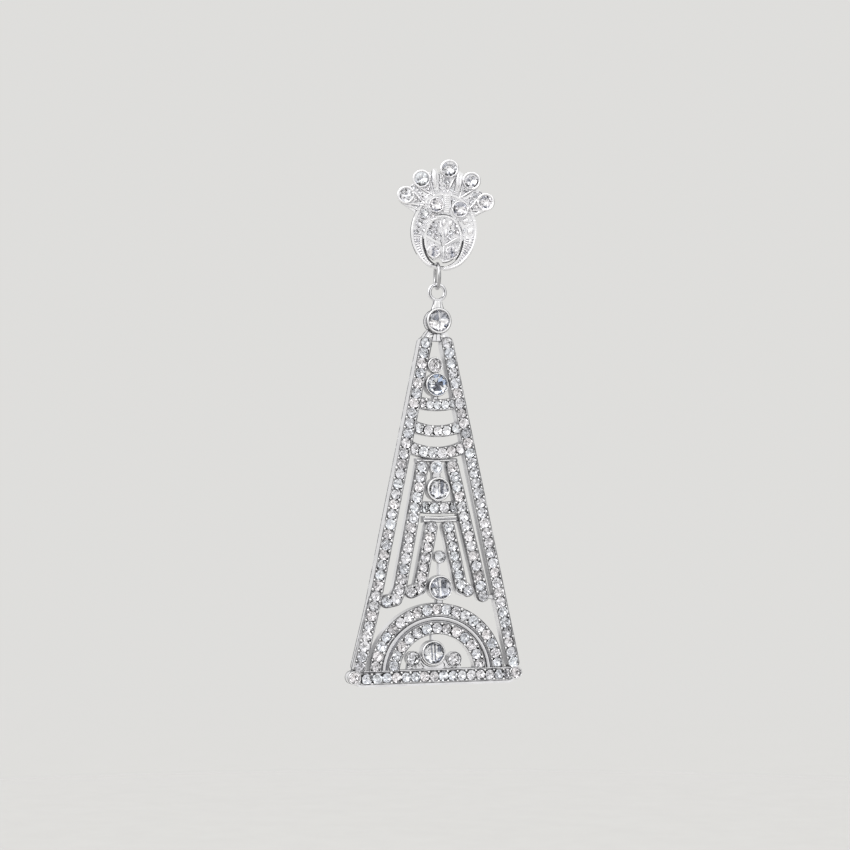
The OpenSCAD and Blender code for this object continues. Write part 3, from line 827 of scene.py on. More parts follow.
# the round stone on the tower's neck
put_stone(paved, rng, -0.1, -28.85, FACE + 0.03, 0.92)
for k in range(4):
    a = math.radians(45 + 90 * k)
    dome(beads, -0.1 + 0.98 * math.cos(a), -28.85 + 0.98 * math.sin(a), FACE - 0.05, 0.18, 0.22)

paved.make("paved_stones", DROP, [glass, back], "drop", "crystal")

# ---------------------------------------------------------------- rims of the channels

xs, ys = np.arange(-15.6, 14.8, 0.06), np.arange(-65.2, -1.6, 0.06)
X, Y = np.meshgrid(xs, ys)
rims, shade_lines = Build(), Build()
drop_height = heights("drop_frame", DROP, -0.9)
groups = band_fields(X, Y)
# rounded rims along every channel, and inside each a dark wire of painted shade between the stones and the rim
for number, group in enumerate(groups):
    for q in group:
        for level, b, r, z in ((-0.17, rims, 0.05, FACE - 0.01), (-0.08, shade_lines, 0.08, FACE - 0.02)):
            for loop in contours(q, xs, ys, level):
                if len(loop) > 20:
                    for line, closed in open_runs(eased(loop, 0.3), number):
                        wire(b, line, r, z, closed=closed, sides=6, rise=0.9)
# painted shade down the walls between the inner bands, as tall dark wires
for q in groups[2]:
    for loop in contours(q, xs, ys, 0.0):
        if len(loop) > 20:
            for line, closed in open_runs(eased(loop, 0.3), 2):
                wire(shade_lines, line, 0.05, FACE - 0.36, closed=closed, sides=8, rise=5.0)
bands = [q for group in groups for q in group]
whole = np.minimum.reduce(bands + [d_poly(X, Y, q) for q in JOINING] + [d_bezels(X, Y)])
# painted shade: a dark wire just inside the edge of the whole face, laid on the casting
for loop in contours(whole, xs, ys, -0.07):
    if len(loop) > 20:
        line = [(x, y, drop_height(x, y)) for x, y in eased(loop, 0.25, 1)]
        line = [(x, y, (z if z is not None else FACE - 0.4) + 0.01) for x, y, z in line]
        wire(shade_lines, line, 0.06, 0, closed=True, sides=6)
# painted shade: a dark ring round each bezel; the collar gets three, two of them lower down
for name, x, y, r, wall, top in DROP_BEZELS:
    edges = [(0.0, 0.06, top - 0.16)]
    if name == "stone_collar":
        edges = [(0.16, 0.07, top - 0.14), (0.0, 0.05, FACE - 0.7), (0.0, 0.06, -0.92)]
    for more, thick, z in edges:
        circle = [(x + (r + wall + more) * math.cos(a), y + (r + wall + more) * math.sin(a)) for a in np.linspace(0, 2 * math.pi, 64, endpoint=False)]
        wire(shade_lines, circle, thick, z, closed=True, sides=6)
# painted shade: a dark line along the back edge of the outline
outer = max(contours(whole, xs, ys, 0.0), key=len)
wire(shade_lines, eased(outer, 0.3), 0.045, -0.97, closed=True, sides=6)
# painted shade: dark streaks on the eye
for lo, hi, R, r in ((112, 238, 1.42, 0.1), (-62, 66, 1.24, 0.09), (150, 215, 1.14, 0.06)):
    arc = [(0.2 + R * math.cos(a), R * math.sin(a)) for a in np.linspace(math.radians(lo), math.radians(hi), 22)]
    wire(shade_lines, arc, r, 0.8 + math.sqrt(max(0.0, 0.32 ** 2 - (R - 1.32) ** 2)) - 0.02, sides=6, rise=0.5, ends=0.3)
rims.make("channel_rims", DROP, [rim_drop], "drop", "plated_metal")
shade_lines.make("channel_shade_lines", DROP, [shade_rows_mat], "drop", "plated_metal")

# the polished half round between the arches, in a darker copy of the plate that paints shade on it
strip, shade_lines2, plate2 = Build(), Build(), Build()
R = 0.5 * (ARCHES[0][1] + ARCHES[1][0])
arc = [(ARCH_C[0] + R * math.cos(a), ARCH_C[1] + R * math.sin(a)) for a in np.linspace(math.radians(3), math.radians(177), 90)]
wire(strip, arc, 0.4, FACE - 0.42, sides=14, rise=0.7)
strip.make("arch_half_round", DROP, [shaded_rail_metal], "drop", "plated_metal")
# polished rails, the neck and the shoulders
plate = Build()
wire(plate, [(x, -37.1 + 0.03 * abs(x - 0.4)) for x in np.linspace(-2.2, 3.4, 20)], 0.2, 0.68, sides=10)
wire(plate, [(x, -37.72 + 0.03 * abs(x - 0.4)) for x in np.linspace(-2.3, 3.4, 20)], 0.16, 0.64, sides=10)
wire(plate, [(x, -27.72) for x in np.linspace(-3.4, 3.4, 20)], 0.2, 0.6, sides=10)
# painted shade: a dark line between the two rails
wire(shade_lines2, [(x, -37.44 + 0.03 * abs(x - 0.4)) for x in np.linspace(-2.2, 3.4, 20)], 0.05, 0.7, sides=6)
wire(plate, [(0.2, y, 1.2) for y in np.linspace(-1.45, -3.3, 10)], 0.56, 0, sides=14, rise=0.35, ends=0.8)
for s in (-1, 1):
    wire(plate, [(0.2 + s * (0.36 + 0.62 * q ** 1.8), -1.5 - 1.75 * q, 1.15) for q in np.linspace(0, 1, 12)], 0.34, 0, sides=12, rise=0.45, ends=0.6)
    wire(plate, [(0.1 + s * (0.5 + 1.35 * q), -7.1 - 0.75 * q * q, 0.6) for q in np.linspace(0, 1, 12)], 0.3, 0, sides=12, rise=0.5, ends=0.3)
plate.make("neck_polish", DROP, [bright], "drop", "plated_metal")
# painted shade: dark lines along the neck's edges, under the collar and round the three stones in the arch
for s in (-1, 1):
    wire(shade_lines2, [(0.2 + s * (0.73 + 0.62 * q ** 1.8), -1.5 - 1.75 * q, 1.04) for q in np.linspace(0, 1, 12)], 0.06, 0, sides=6, ends=0.6)
for x0, x1, r in ((-0.5, -0.72, 0.09), (0.72, 0.86, 0.09), (0.1, 0.06, 0.05)):
    wire(shade_lines2, [(x0 + (x1 - x0) * q, -6.75 - 1.2 * q, 0.62) for q in np.linspace(0, 1, 6)], r, 0, sides=6, ends=0.4)
name, x, y, r, wall, top = DROP_BEZELS[4]
# a bright crescent under the arch stone, then dark arcs of painted shade round it
for lo, hi, out_by, thick, z, b in ((196, 344, 0.12, 0.17, 0.95, plate2), (192, 348, 0.3, 0.07, 0.64, shade_lines2), (20, 70, 0.06, 0.06, 1.0, shade_lines2)):
    arc = [(x + (r + wall + out_by) * math.cos(a), y + (r + wall + out_by) * math.sin(a)) for a in np.linspace(math.radians(lo), math.radians(hi), 26)]
    wire(b, arc, thick, z, sides=8, ends=0.4)
for x0, y0, r in ((-5.15, -61.45, 0.2), (-4.55, -61.62, 0.24), (-3.9, -61.55, 0.22), (-3.3, -61.3, 0.2), (1.75, -61.45, 0.2), (2.35, -61.68, 0.22), (3.0, -61.66, 0.2), (3.45, -61.4, 0.18), (-2.7, -61.7, 0.18), (1.2, -61.75, 0.17)):
    dome(beads, x0, y0, 0.6, r, 0.24)
# painted shade: dark lines on the sill round the three stones in the arch
for line in ([(-5.3, -61.95), (-3.4, -61.93), (-2.2, -61.95)], [(0.7, -61.95), (2.2, -61.93), (3.7, -61.95)], [(-3.0, -60.9), (-2.75, -61.3), (-2.4, -61.6)], [(0.85, -60.95), (1.1, -61.3), (0.95, -61.65)], [(-5.3, -60.9), (-5.35, -61.5)], [(3.75, -61.0), (3.8, -61.6)]):
    wire(shade_lines2, [(q[0], q[1]) for q in along(line, 10)], 0.08, 0.62, sides=6, ends=0.4)
plate2.make("arch_crescent", DROP, [bright], "drop", "plated_metal")
shade_lines2.make("rail_shade_lines", DROP, [shade_line_mat], "drop", "plated_metal")
beads.make("drop_beads", DROP, [bead_metal], "drop", "plated_metal")

# ---------------------------------------------------------------- stones in bezels

# Painted reflections and shade on the larger stones' facets
PAINTED_REFLECTIONS = {
    "stone_collar": [
        ("side", 95, 0.12, (0.35, 0.5, 0.65, 0.8)), ("spot", -0.25, 0.2, 0.22, (0.3, 0.4)), ("spot", 0.08, -0.22, 0.13, (0.14, 0.3, 0.9)),
        ("spot", 0.62, -0.35, 0.2, (0.2, 0.4, 1.0)), ("bar", 0.0, 0.07, -0.06, 0.0, 0.9, (1.0,)), ("spot", 0.55, 0.12, 0.16, (1.0,)),
    ],
    "stone_spire": [
        ("side", 50, 0.42, ((0.55, 0.68, 0.92), (0.68, 0.78, 0.97), 1.0)), ("spot", 0.05, -0.1, 0.5, (0.06, 0.1, 0.14, 0.2)), ("spot", 0.55, -0.3, 0.17, (1.0,)),
        ("spot", -0.5, 0.55, 0.14, (0.4, 0.6)),
    ],
    "stone_tower": [
        ("side", 180, 0.62, (0.9, 1.0)), ("bar", -0.62, -0.42, 0.0, -0.7, 0.5, (0.65, 0.8)), ("bar", -0.12, 0.0, 0.0, -0.9, 0.9, (0.55, 0.7)),
        ("bar", 0.13, 0.48, 0.0, -0.45, 0.95, (0.12, 0.17, 0.24, 0.32)), ("bar", 0.48, 0.95, 0.0, -0.6, 0.7, (0.6, 0.8, 1.0)),
        ("bar", 0.0, 0.12, 0.0, -0.98, 0.98, (1.0,)),
    ],
    "stone_keystone": [
        ("spot", -0.62, 0.1, 0.3, (0.5, 0.65, 0.85)), ("spot", -0.6, 0.0, 0.16, (1.0,)), ("bar", -0.26, -0.14, -0.1, -0.8, 0.8, (0.25, 0.4, 0.6)),
        ("bar", 0.02, 0.5, 0.0, -0.05, 0.7, (0.1, 0.15, 0.22)), ("bar", 0.5, 0.9, 0.0, -0.3, 0.5, (0.5, 0.65, 0.9)), ("bar", 0.02, 0.8, 0.0, -0.7, -0.05, (0.5, 0.65, 0.8)),
        ("side", -88, 0.72, (0.3, 0.42, 0.55)), ("bar", -0.1, 0.02, -0.1, -0.8, 0.85, (1.0,)),
    ],
    "stone_arch": [
        ("bar", -0.24, -0.1, -0.05, -0.6, 0.8, (0.3, 0.45)), ("bar", -0.1, 0.05, -0.05, -0.6, 0.9, (1.0,)), ("bar", 0.05, 0.2, -0.05, -0.6, 0.8, (0.14, 0.24)),
        ("bar", 0.34, 0.7, 0.0, 0.1, 0.8, (0.16, 0.26, 0.4)), ("side", -55, 0.62, (0.15, 0.3, 0.8)),
    ],
    "stone_fan_1": [("spot", 0.0, 0.12, 0.26, (0.3, 0.5, 0.8))],
    "stone_fan_2": [("spot", -0.16, 0.06, 0.28, (0.3, 0.5, 0.7))],
    "stone_fan_3": [("side", 150, 0.5, (0.4, 0.6, 0.8, 1.0)), ("spot", 0.03, -0.6, 0.2, (0.3, 0.5))],
    "stone_fan_4": [("spot", -0.2, 0.05, 0.3, (0.22, 0.4, 0.6)), ("spot", -0.45, -0.65, 0.2, (0.35, 0.5)), ("spot", 0.3, -0.45, 0.15, (0.4,))],
    "stone_fan_5": [("side", 110, 0.42, (0.4, 0.55, 0.75, 1.0)), ("spot", 0.1, -0.75, 0.25, (0.2, 0.4))],
    "stone_shoulder_left": [("side", -100, 0.6, (0.35, 0.55, 0.8)), ("spot", -0.44, 0.28, 0.17, (0.2, 0.35))],
    "stone_shoulder_right": [("side", 100, 0.25, (0.55, 0.65, 0.75)), ("spot", -0.62, -0.35, 0.25, (0.2, 0.3))],
    "stone_bud_left": [("bar", -0.3, 0.05, 0.0, -0.8, 0.6, (0.2, 0.35, 0.6))],
    "stone_bud_right": [("spot", 0.0, 0.05, 0.35, (0.2, 0.35, 0.5)), ("spot", -0.1, 0.6, 0.2, (0.3,))],
}
FLAT_BACKS = ("stone_collar", "stone_spire", "stone_tower", "stone_keystone", "stone_arch")
lips = {"drop": Build(), "top": Build()}
for body, table, matrix in (("drop", DROP_BEZELS, DROP), ("top", CREST_BEZELS, CREST)):
    for name, x, y, r, wall, top in table:
        b = Build()
        rg = random.Random(name)
        more = 0.05 if name == "stone_tower" else min(0.6 * wall, 0.14) if body == "drop" else {"stone_fan_2": 0.16, "stone_fan_3": 0.14, "stone_fan_4": 0.15}.get(name, 0.07)
        wider = 0.1 if name in ("stone_arch_left", "stone_arch_right") else 0.0
        R = r + more + wider
        deep = 0.13 if name in FLAT_BACKS else 0.4 if "fan" in name or "shoulder" in name else 0.84
        shades = PALE if name in FLAT_BACKS or name == "stone_shoulder_right" else CLEAR if body == "drop" else PALE if "fan" in name or "shoulder" in name else SOFT
        v, f, m, s = cut_stone(rg, R, depth=deep, crown=0.3, table=0.56, shades=shades)
        v = moved(v, x, y, top + (0.05 if body == "drop" or more > 0.1 else 0.0), rg.uniform(0, math.pi), math.radians(rg.uniform(-2, 2)), rg.uniform(0, 6.28))
        # paints reflections and shade into the facets of the larger stones
        if name in PAINTED_REFLECTIONS:
            f, m, s = paint_reflections(rg, v, f, m, s, x, y, R, PAINTED_REFLECTIONS[name])
        b.add(v, f, m, s, False)
        o = b.make(name.replace("stone", "brilliant"), matrix, [glass, back], body, "crystal")
        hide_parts(name)
        lip(lips[body], x, y, top, R - 0.03, r + wall + (0.14 if name == "stone_collar" else 0.02 + wider), 0.16 if body == "drop" else 0.12, n=64, uneven=0.12 if body == "drop" else 0.45, seed=name)
lips["drop"].make("drop_bezel_lips", DROP, [bezel_drop], "drop", "plated_metal")
lips["top"].make("crest_bezel_lips", CREST, [crest_bezel], "top", "plated_metal")

# ---------------------------------------------------------------- the crest's small work

# marks gathers the crest's dark lines of painted shade
small, grains, marks = Build(), Build(), Build()
taken = [(x, y, r + wall) for name, x, y, r, wall, top in CREST_BEZELS]

height_at = heights("crest", CREST, 0.5)


def level_at(x, y, r):
    """Height of the casting where it is flat for r around, or nothing."""
    z = height_at(x, y)
    if z is None:
        return None
    for k in range(8):
        e = height_at(x + r * math.cos(k * 0.7854), y + r * math.sin(k * 0.7854))
        if e is None or abs(e - z) > 0.05:
            return None
    return z


def clear_at(x, y, r):
    return all(math.hypot(x - q[0], y - q[1]) > r + q[2] for q in taken)


def set_small(x, y, r, z, shades=None, collar=True):
    put_stone(small, rng, x, y, z + 0.26, r, tilt=8.0, depth=0.42, crown=0.34, shades=shades or SOFT)
    if collar:
        lip(grains, x, y, z + 0.14, r - 0.04, r + 0.1, 0.09, n=26, m=4, uneven=0.5, seed=int(1000 * x + y))
    for k in range(4 if r > 0.34 else 3):
        a = math.radians(45 + (90 if r > 0.34 else 120) * k + rng.uniform(-16, 16))
        dome(grains, x + (r + 0.04) * math.cos(a), y + (r + 0.04) * math.sin(a), z + 0.24, 0.12, 0.17, n=8, rings=2)
    taken.append((x, y, r + 0.1))


for x, y, r in CREST_SMALL:
    set_small(x, y, r, FIELD, shades=PAVE)

# painted shade between the small stones: short dark strokes
SHADE_DOTS = [
    (-2.42, 6.34), (-1.68, 7.62), (-1.23, 7.03), (-1.07, 6.11), (-0.46, 5.64), (-1.11, 5.08), (-0.23, 4.31), (0.81, 4.17), (2.84, 6.21), (1.03, 5.52),
    (1.82, 6.15), (2.1, 6.62), (1.12, 7.39), (-3.07, 8.36), (-3.91, 6.97), (-4.32, 5.39), (4.88, 5.04), (-2.47, 13.55), (-4.15, 12.42), (-4.64, 12.08),
    (3.6, 13.94), (2.17, 12.09), (4.03, 12.0), (4.56, 11.73), (5.14, 12.38), (5.49, 10.14), (1.26, 6.88), (-2.7, 9.75), (-3.4, 9.7), (3.3, 8.9), (-5.6, 10.9), (-4.0, 11.0),
]
for x, y in SHADE_DOTS:
    for sx, sy, r in CREST_SMALL:
        d = math.hypot(x - sx, y - sy)
        if d < r + 0.12:
            x, y = sx + (x - sx) * (r + 0.12) / max(d, 0.01), sy + (y - sy) * (r + 0.12) / max(d, 0.01)
    z = level_at(x, y, 0.1)
    if z is not None and z < 1.6:
        a = rng.uniform(0, math.pi)
        wire(marks, [(x + 0.1 * q * math.cos(a), y + 0.1 * q * math.sin(a), z + 0.05) for q in (-1.4, -0.5, 0.5, 1.4)], 0.11, 0, sides=7, ends=0.5)
        taken.append((x, y, 0.1))


def in_egg(x, y, c, a, b, r):
    side = (a * a + (b - r) ** 2 - r * r) / (2 * (a - r))
    t = side * (b - r) / (side - r)
    x, y = x - c[0], y - c[1]
    if math.hypot(x, y - b + r) <= r or math.hypot(x, y + b - r) <= r:
        return True
    return abs(y) <= t and math.hypot(x - a + side, y) <= side and math.hypot(x + a - side, y) <= side


def egg_at(deg, eye, c, a, b, r):
    """Where a ray from eye meets an oval."""
    dx, dy = math.cos(math.radians(deg)), math.sin(math.radians(deg))
    lo, hi = 0.0, 20.0
    for _ in range(30):
        m = 0.5 * (lo + hi)
        if in_egg(eye[0] + dx * m, eye[1] + dy * m, c, a, b, r):
            lo = m
        else:
            hi = m
    return (eye[0] + dx * lo, eye[1] + dy * lo)


EYE = (0.15, 5.4)
OUTER = ((0.2, 6.2), 5.45, 6.3, 4.85)
SLOT = ((0.12, 5.0), 3.45, 4.6, 3.0)
BUD = ((0.12, 5.03), 3.1, 3.88, 2.75)


def ring_of(shape, g, degs):
    c, a, b, r = shape
    return [egg_at(d, EYE, c, a - g, b - g, r - g) for d in degs]


def by_ring(x, y):
    """In the way of the jump ring, where the casting is cut open for it."""
    return abs(x + 0.55) < 0.62 and y < 1.8 or abs(x + 0.55) < 0.98 and y < 0.75 or math.hypot(x + 0.55, y - 0.95) < 0.8


def off_ring(line):
    """The runs of a line that leave the jump ring its way round the bar."""
    runs, run = [], []
    for q in line:
        if not by_ring(q[0], q[1]):
            run.append(q)
        elif run:
            runs.append(run)
            run = []
    return [q for q in runs + [run] if len(q) > 1]


# ribs across the rim, and its rounded inner and outer edges
for d in np.arange(176, 365, 5.4):
    if 247 < d < 283:
        continue
    p = egg_at(d, EYE, OUTER[0], OUTER[1] - 0.4, OUTER[2] - 0.4, OUTER[3] - 0.4)
    q = egg_at(d, EYE, SLOT[0], SLOT[1] + 0.3, SLOT[2] + 0.3, SLOT[3] + 0.3)
    if math.dist(p, q) < 0.2 or math.hypot(p[0], p[1] - EYE[1]) < math.hypot(q[0], q[1] - EYE[1]):
        continue
    wire(grains, [(q[0] + (p[0] - q[0]) * t, q[1] + (p[1] - q[1]) * t) for t in (0, 0.25, 0.5, 0.75, 1)], 0.17, FIELD + 0.03, rise=1.4)
for line in off_ring(ring_of(OUTER, 0.2, np.arange(150, 392, 1.5))):
    wire(grains, line, 0.15, 1.58, rise=0.7)


def milled(line, pitch, r, z):
    """A row of fine grains along a line."""
    for x, y, _ in along(line, int(sum(math.dist(a, b) for a, b in zip(line, line[1:])) / pitch)):
        dome(grains, x, y, z, r * rng.uniform(0.85, 1.1), r, n=8, rings=2)


for line in off_ring(ring_of(SLOT, -0.16, np.arange(185, 356, 1.5))):
    milled(line, 0.34, 0.14, 1.58)
for line in off_ring(ring_of(BUD, 0.15, np.arange(-150, 130, 2))):
    milled(line, 0.3, 0.12, 1.72)
# the ribbed cup under the bud
for x in (-0.95, -0.6, -0.25, 0.1, 0.45, 0.8, 1.15):
    low = 0.45 if x < 0.2 else 0.0
    wire(grains, [(0.12 + (x - 0.12) * (0.75 + 0.25 * q), 1.4 + 0.85 * q) for q in np.linspace(low, 1, 5)], 0.13, (height_at(0.12, 1.9) or FIELD) + 0.03, rise=1.2, ends=0.5)
# painted shade: a dark line along the left of the outer rim
wire(marks, ring_of(OUTER, -0.01, np.arange(136, 218, 3)), 0.08, 1.45, sides=6)

# the leaves' edges and the petals' folds, as tapered wires with a bright ridge
LINES = [
    [(0.35, 3.9), (0.2, 5.2), (-0.15, 6.4), (-0.45, 7.4), (-0.5, 8.3)],
    [(0.35, 3.9), (1.1, 4.4), (2.0, 5.0), (2.75, 5.45)],
    [(0.33, 1.5), (0.33, 2.8), (0.35, 3.9)],
    [(-0.1, 9.3), (-0.35, 10.8), (-0.45, 12.4)],
    [(0.85, 9.3), (0.95, 10.8), (1.0, 12.4)],
    [(-4.05, 10.3), (-3.4, 11.5), (-2.5, 12.35), (-0.9, 12.75)],
    [(0.8, 12.7), (1.9, 12.5), (2.9, 12.1), (3.7, 11.3)],
    [(-7.3, 10.75), (-5.9, 10.4), (-4.6, 9.6), (-3.6, 9.5)],
    [(7.3, 10.45), (6.1, 9.9), (5.1, 9.4), (4.2, 9.2)],
    [(-2.2, 8.1), (-1.6, 7.9), (-1.0, 7.5)], [(-2.35, 7.35), (-1.7, 7.1), (-1.0, 6.75)],
    [(-2.6, 6.5), (-1.8, 6.35), (-0.9, 6.0)], [(-2.5, 5.7), (-1.7, 5.6), (-0.6, 5.2)],
    [(-2.4, 4.2), (-1.6, 4.0), (-0.6, 3.7)], [(-2.1, 3.9), (-1.4, 3.75), (-0.5, 3.4)],
]
for line in LINES:
    p = along(line, 14)
    z = [height_at(x, y) or FIELD for x, y, _ in p]
    wire(grains, [(q[0], q[1], h + 0.08) for q, h in zip(p, z)], 0.14, 0, rise=1.1, ends=0.4)
    taken += [(x, y, 0.13) for x, y, _ in p]
for k in range(9):
    y = 9.5 + 0.33 * k
    wire(grains, [(0.0, y), (0.2, y), (0.42, y), (0.64, y), (0.82, y)], 0.1, 1.8, rise=1.1)

# each stone of the fan tops a petal: a raised edge that runs round the stone and closes to a point
TIPS = [(-2.9, 10.3), (-1.75, 12.0), (0.35, 12.7), (2.45, 11.9), (3.95, 9.95)]
for (name, x, y, r, wall, top), (tx, ty) in zip(CREST_BEZELS, TIPS):
    R = r + wall - 0.06
    d, f = math.hypot(tx - x, ty - y), math.atan2(ty - y, tx - x)
    b = math.acos(R / d)
    line = [(tx, ty)]
    line += [(x + R * math.cos(a), y + R * math.sin(a)) for a in np.linspace(f + b, f + 2 * math.pi - b, 40)]
    line += [(tx, ty)]
    p = along(line, 70)
    p = [(q[0], q[1], max(height_at(q[0], q[1]) or FIELD, 1.42) + 0.04) for q in p]
    wire(grains, p, 0.21, 0, rise=0.85, ends=0.5)
    taken += [(q[0], q[1], 0.15) for q in p]
    away = [(q[0] + (q[0] - (x + tx) / 2) / math.hypot(q[0] - (x + tx) / 2, q[1] - (y + ty) / 2) * 0.2,
             q[1] + (q[1] - (y + ty) / 2) / math.hypot(q[0] - (x + tx) / 2, q[1] - (y + ty) / 2) * 0.2) for q in p]
    # painted shade: dark lines just outside each petal's raised edge
    for part in (away[2:17], away[-17:-2]):
        if all(height_at(*q) for q in part):
            wire(marks, [(*q, (height_at(*q) or FIELD) + 0.02) for q in part], 0.06, 0, sides=6, ends=0.4)

# polished petals: long low domes, from x, y, to x, y, half width and height
PETALS = [
    (0.1, 7.0, 0.2, 8.5, 0.36, 0.38), (0.95, 7.0, 1.5, 8.4, 0.36, 0.34), (0.45, 5.3, 0.6, 6.7, 0.28, 0.28), (-1.75, 8.1, -0.95, 8.35, 0.22, 0.24),
    (3.45, 7.6, 3.85, 8.8, 0.5, 0.32), (4.35, 5.9, 4.7, 7.2, 0.48, 0.32), (4.5, 4.4, 4.75, 5.4, 0.32, 0.26),
    (-2.1, 16.25, -1.65, 13.2, 0.42, 0.34), (1.95, 16.0, 1.95, 13.2, 0.3, 0.28), (2.45, 15.6, 2.35, 13.2, 0.22, 0.24),
    (-6.4, 10.35, -5.3, 9.85, 0.18, 0.2), (5.3, 9.65, 6.6, 10.15, 0.2, 0.2), (-3.3, 9.9, -2.75, 11.6, 0.16, 0.2),
    (-0.3, 13.6, -0.35, 14.4, 0.14, 0.2), (3.75, 9.6, 4.05, 10.6, 0.2, 0.22),
]
for x0, y0, x1, y1, w, h in PETALS:
    p = [(x0 + (x1 - x0) * k / 12, y0 + (y1 - y0) * k / 12) for k in range(13)]
    z = height_at(0.5 * (x0 + x1), 0.5 * (y0 + y1)) or FIELD
    wire(grains, [(x, y, z + 0.02) for x, y in p], w, 0, sides=12, rise=h / w, ends=0.15)
    taken += [(x, y, w) for x, y in p[2:-2:2]]

# more small stones of mixed sizes wherever a field is still bare, then grains between them
for r, tries, kind in ((0.46, 900, "stone"), (0.36, 1500, "stone"), (0.26, 2200, "stone"), (0.17, 3200, "grain"), (0.12, 3200, "grain")):
    for _ in range(tries):
        x, y = rng.uniform(-7.8, 8.0), rng.uniform(0.4, 17.4)
        if by_ring(x, y) or not clear_at(x, y, r + (0.06 if kind == "stone" else -0.02)):
            continue
        z = level_at(x, y, r + 0.04)
        if z is None or z > 1.5:
            continue
        if kind == "stone":
            set_small(x, y, r, z, collar=r > 0.3)
        else:
            dome(grains, x, y, z, r, r * 1.3, n=8, rings=3)
            taken.append((x, y, r))

# painted shade: dark lines in the creases
MARKS = [
    [(-2.42, 16.2), (-2.5, 14.6), (-2.2, 13.0)], [(-1.2, 16.0), (-1.05, 14.66), (-0.98, 13.2)],
    [(2.95, 15.5), (2.75, 14.2), (2.67, 12.93)], [(1.5, 15.6), (1.55, 14.0), (1.5, 13.0)],
    [(-0.62, 11.8), (-0.45, 10.9), (-0.21, 10.0)], [(1.02, 10.0), (1.14, 10.9), (1.22, 11.8)],
    [(-2.45, 9.95), (-1.85, 9.34), (-1.16, 9.2), (-0.4, 9.6)],
    [(-3.99, 8.4), (-3.38, 8.1), (-2.73, 8.25)], [(1.4, 9.6), (1.75, 9.1), (2.3, 8.75)],
    [(-2.3, 8.35), (-1.1, 8.95), (0.2, 9.1), (1.37, 8.8)], [(2.3, 8.2), (2.85, 7.3), (3.3, 6.1)],
    [(-0.3, 4.75), (-0.1, 4.2), (0.08, 3.75)], [(0.55, 4.2), (0.9, 4.55), (1.3, 4.75)],
    [(-4.33, 7.9), (-4.2, 7.3), (-4.1, 6.6)], [(-5.0, 13.3), (-4.7, 13.15), (-4.4, 13.1)],
    [(-4.7, 12.4), (-4.35, 11.9), (-4.2, 11.0)], [(4.6, 12.1), (4.2, 11.7), (4.1, 11.0)],
]
for line in MARKS:
    p = along(line, 12)
    wire(marks, [(x, y, (height_at(x, y) or FIELD) + 0.03) for x, y, _ in p], 0.07, 0, sides=6, ends=0.4)
# painted shade in the slot, along both of its walls
for lo, hi, r in ((183, 232, 0.12), (236, 243, 0.1), (247, 262, 0.12), (266, 276, 0.12), (282, 300, 0.06), (302, 357, 0.09)):
    for line in off_ring([(*q, 1.5) for q in ring_of(SLOT, 0.06, np.arange(lo, hi, 1.25))]):
        wire(marks, line, r, 0, sides=6, ends=0.5)
for line in off_ring([(*q, 1.25) for q in ring_of(BUD, -0.06, np.arange(186, 355, 1.5))]):
    wire(marks, line, 0.05, 0, sides=6)
wire(marks, [(*q, 1.2) for q in ring_of(SLOT, 0.18, np.arange(184, 258, 2.5))], 0.15, 0, sides=8, ends=0.6)
wire(marks, [(*q, 1.2) for q in ring_of(SLOT, 0.16, np.arange(300, 356, 2.5))], 0.09, 0, sides=8, ends=0.6)
# painted shade on the round bar, to both sides of the ring
for lo, hi in ((-1.5, -1.05), (-0.02, 0.5)):
    bar = [(x, 4.75 - math.sqrt(4.51 ** 2 - (x - 0.2) ** 2)) for x in np.linspace(lo, hi, 8)]
    wire(marks, [(x, y + 0.21, 1.02) for x, y in bar], 0.11, 0, sides=7, ends=0.5)
small.make("crest_small_stones", CREST, [glass, back], "top", "crystal")
grains.make("crest_grains", CREST, [crest_fine], "top", "plated_metal")
# dark lines of painted shade on the crest
marks.make("crest_shade_lines", CREST, [shade_line_mat], "top", "plated_metal")

# ---------------------------------------------------------------- floor, light and camera

floor_mesh = bpy.data.meshes.new("floor")
n = 96
rings = [0.0, 0.3, 0.7, 1.3, 2.2, 3.2]
verts, faces = [(0, 0, -0.24)], []
for k, r in enumerate(rings[1:]):
    verts += [(r * math.cos(6.283185 * i / n), r * math.sin(6.283185 * i / n), -0.24) for i in range(n)]
faces += [[0, 1 + i, 1 + (i + 1) % n] for i in range(n)]
for k in range(len(rings) - 2):
    a, b = 1 + k * n, 1 + (k + 1) * n
    faces += [[a + i, b + i, b + (i + 1) % n, a + (i + 1) % n] for i in range(n)]
floor_mesh.from_pydata(verts, [], faces)
floor = bpy.data.objects.new("floor", floor_mesh)
bpy.context.scene.collection.objects.link(floor)
fm, nt, bsdf = node_material("pale_floor")
tc = nt.nodes.new("ShaderNodeTexCoord")
grain = noise(nt, tc.outputs["Object"], 60, 3, 0.5)
nt.links.new(ramp(nt, grain, [(0.3, (0.56, 0.555, 0.545)), (0.7, (0.58, 0.575, 0.565))]), bsdf.inputs["Base Color"])
bsdf.inputs["Roughness"].default_value = 0.85
bsdf.inputs["Specular IOR Level"].default_value = 0.2
far = nt.nodes.new("ShaderNodeVectorMath")
far.operation = "LENGTH"
nt.links.new(tc.outputs["Object"], far.inputs[0])
fade = nt.nodes.new("ShaderNodeMapRange")
fade.interpolation_type = "SMOOTHSTEP"
fade.inputs["From Min"].default_value = 0.3
fade.inputs["From Max"].default_value = 1.5
fade.inputs["To Min"].default_value = 1.0
fade.inputs["To Max"].default_value = 0.0
nt.links.new(far.outputs["Value"], fade.inputs["Value"])
nt.links.new(fade.outputs["Result"], bsdf.inputs["Alpha"])
floor.data.materials.append(fm)

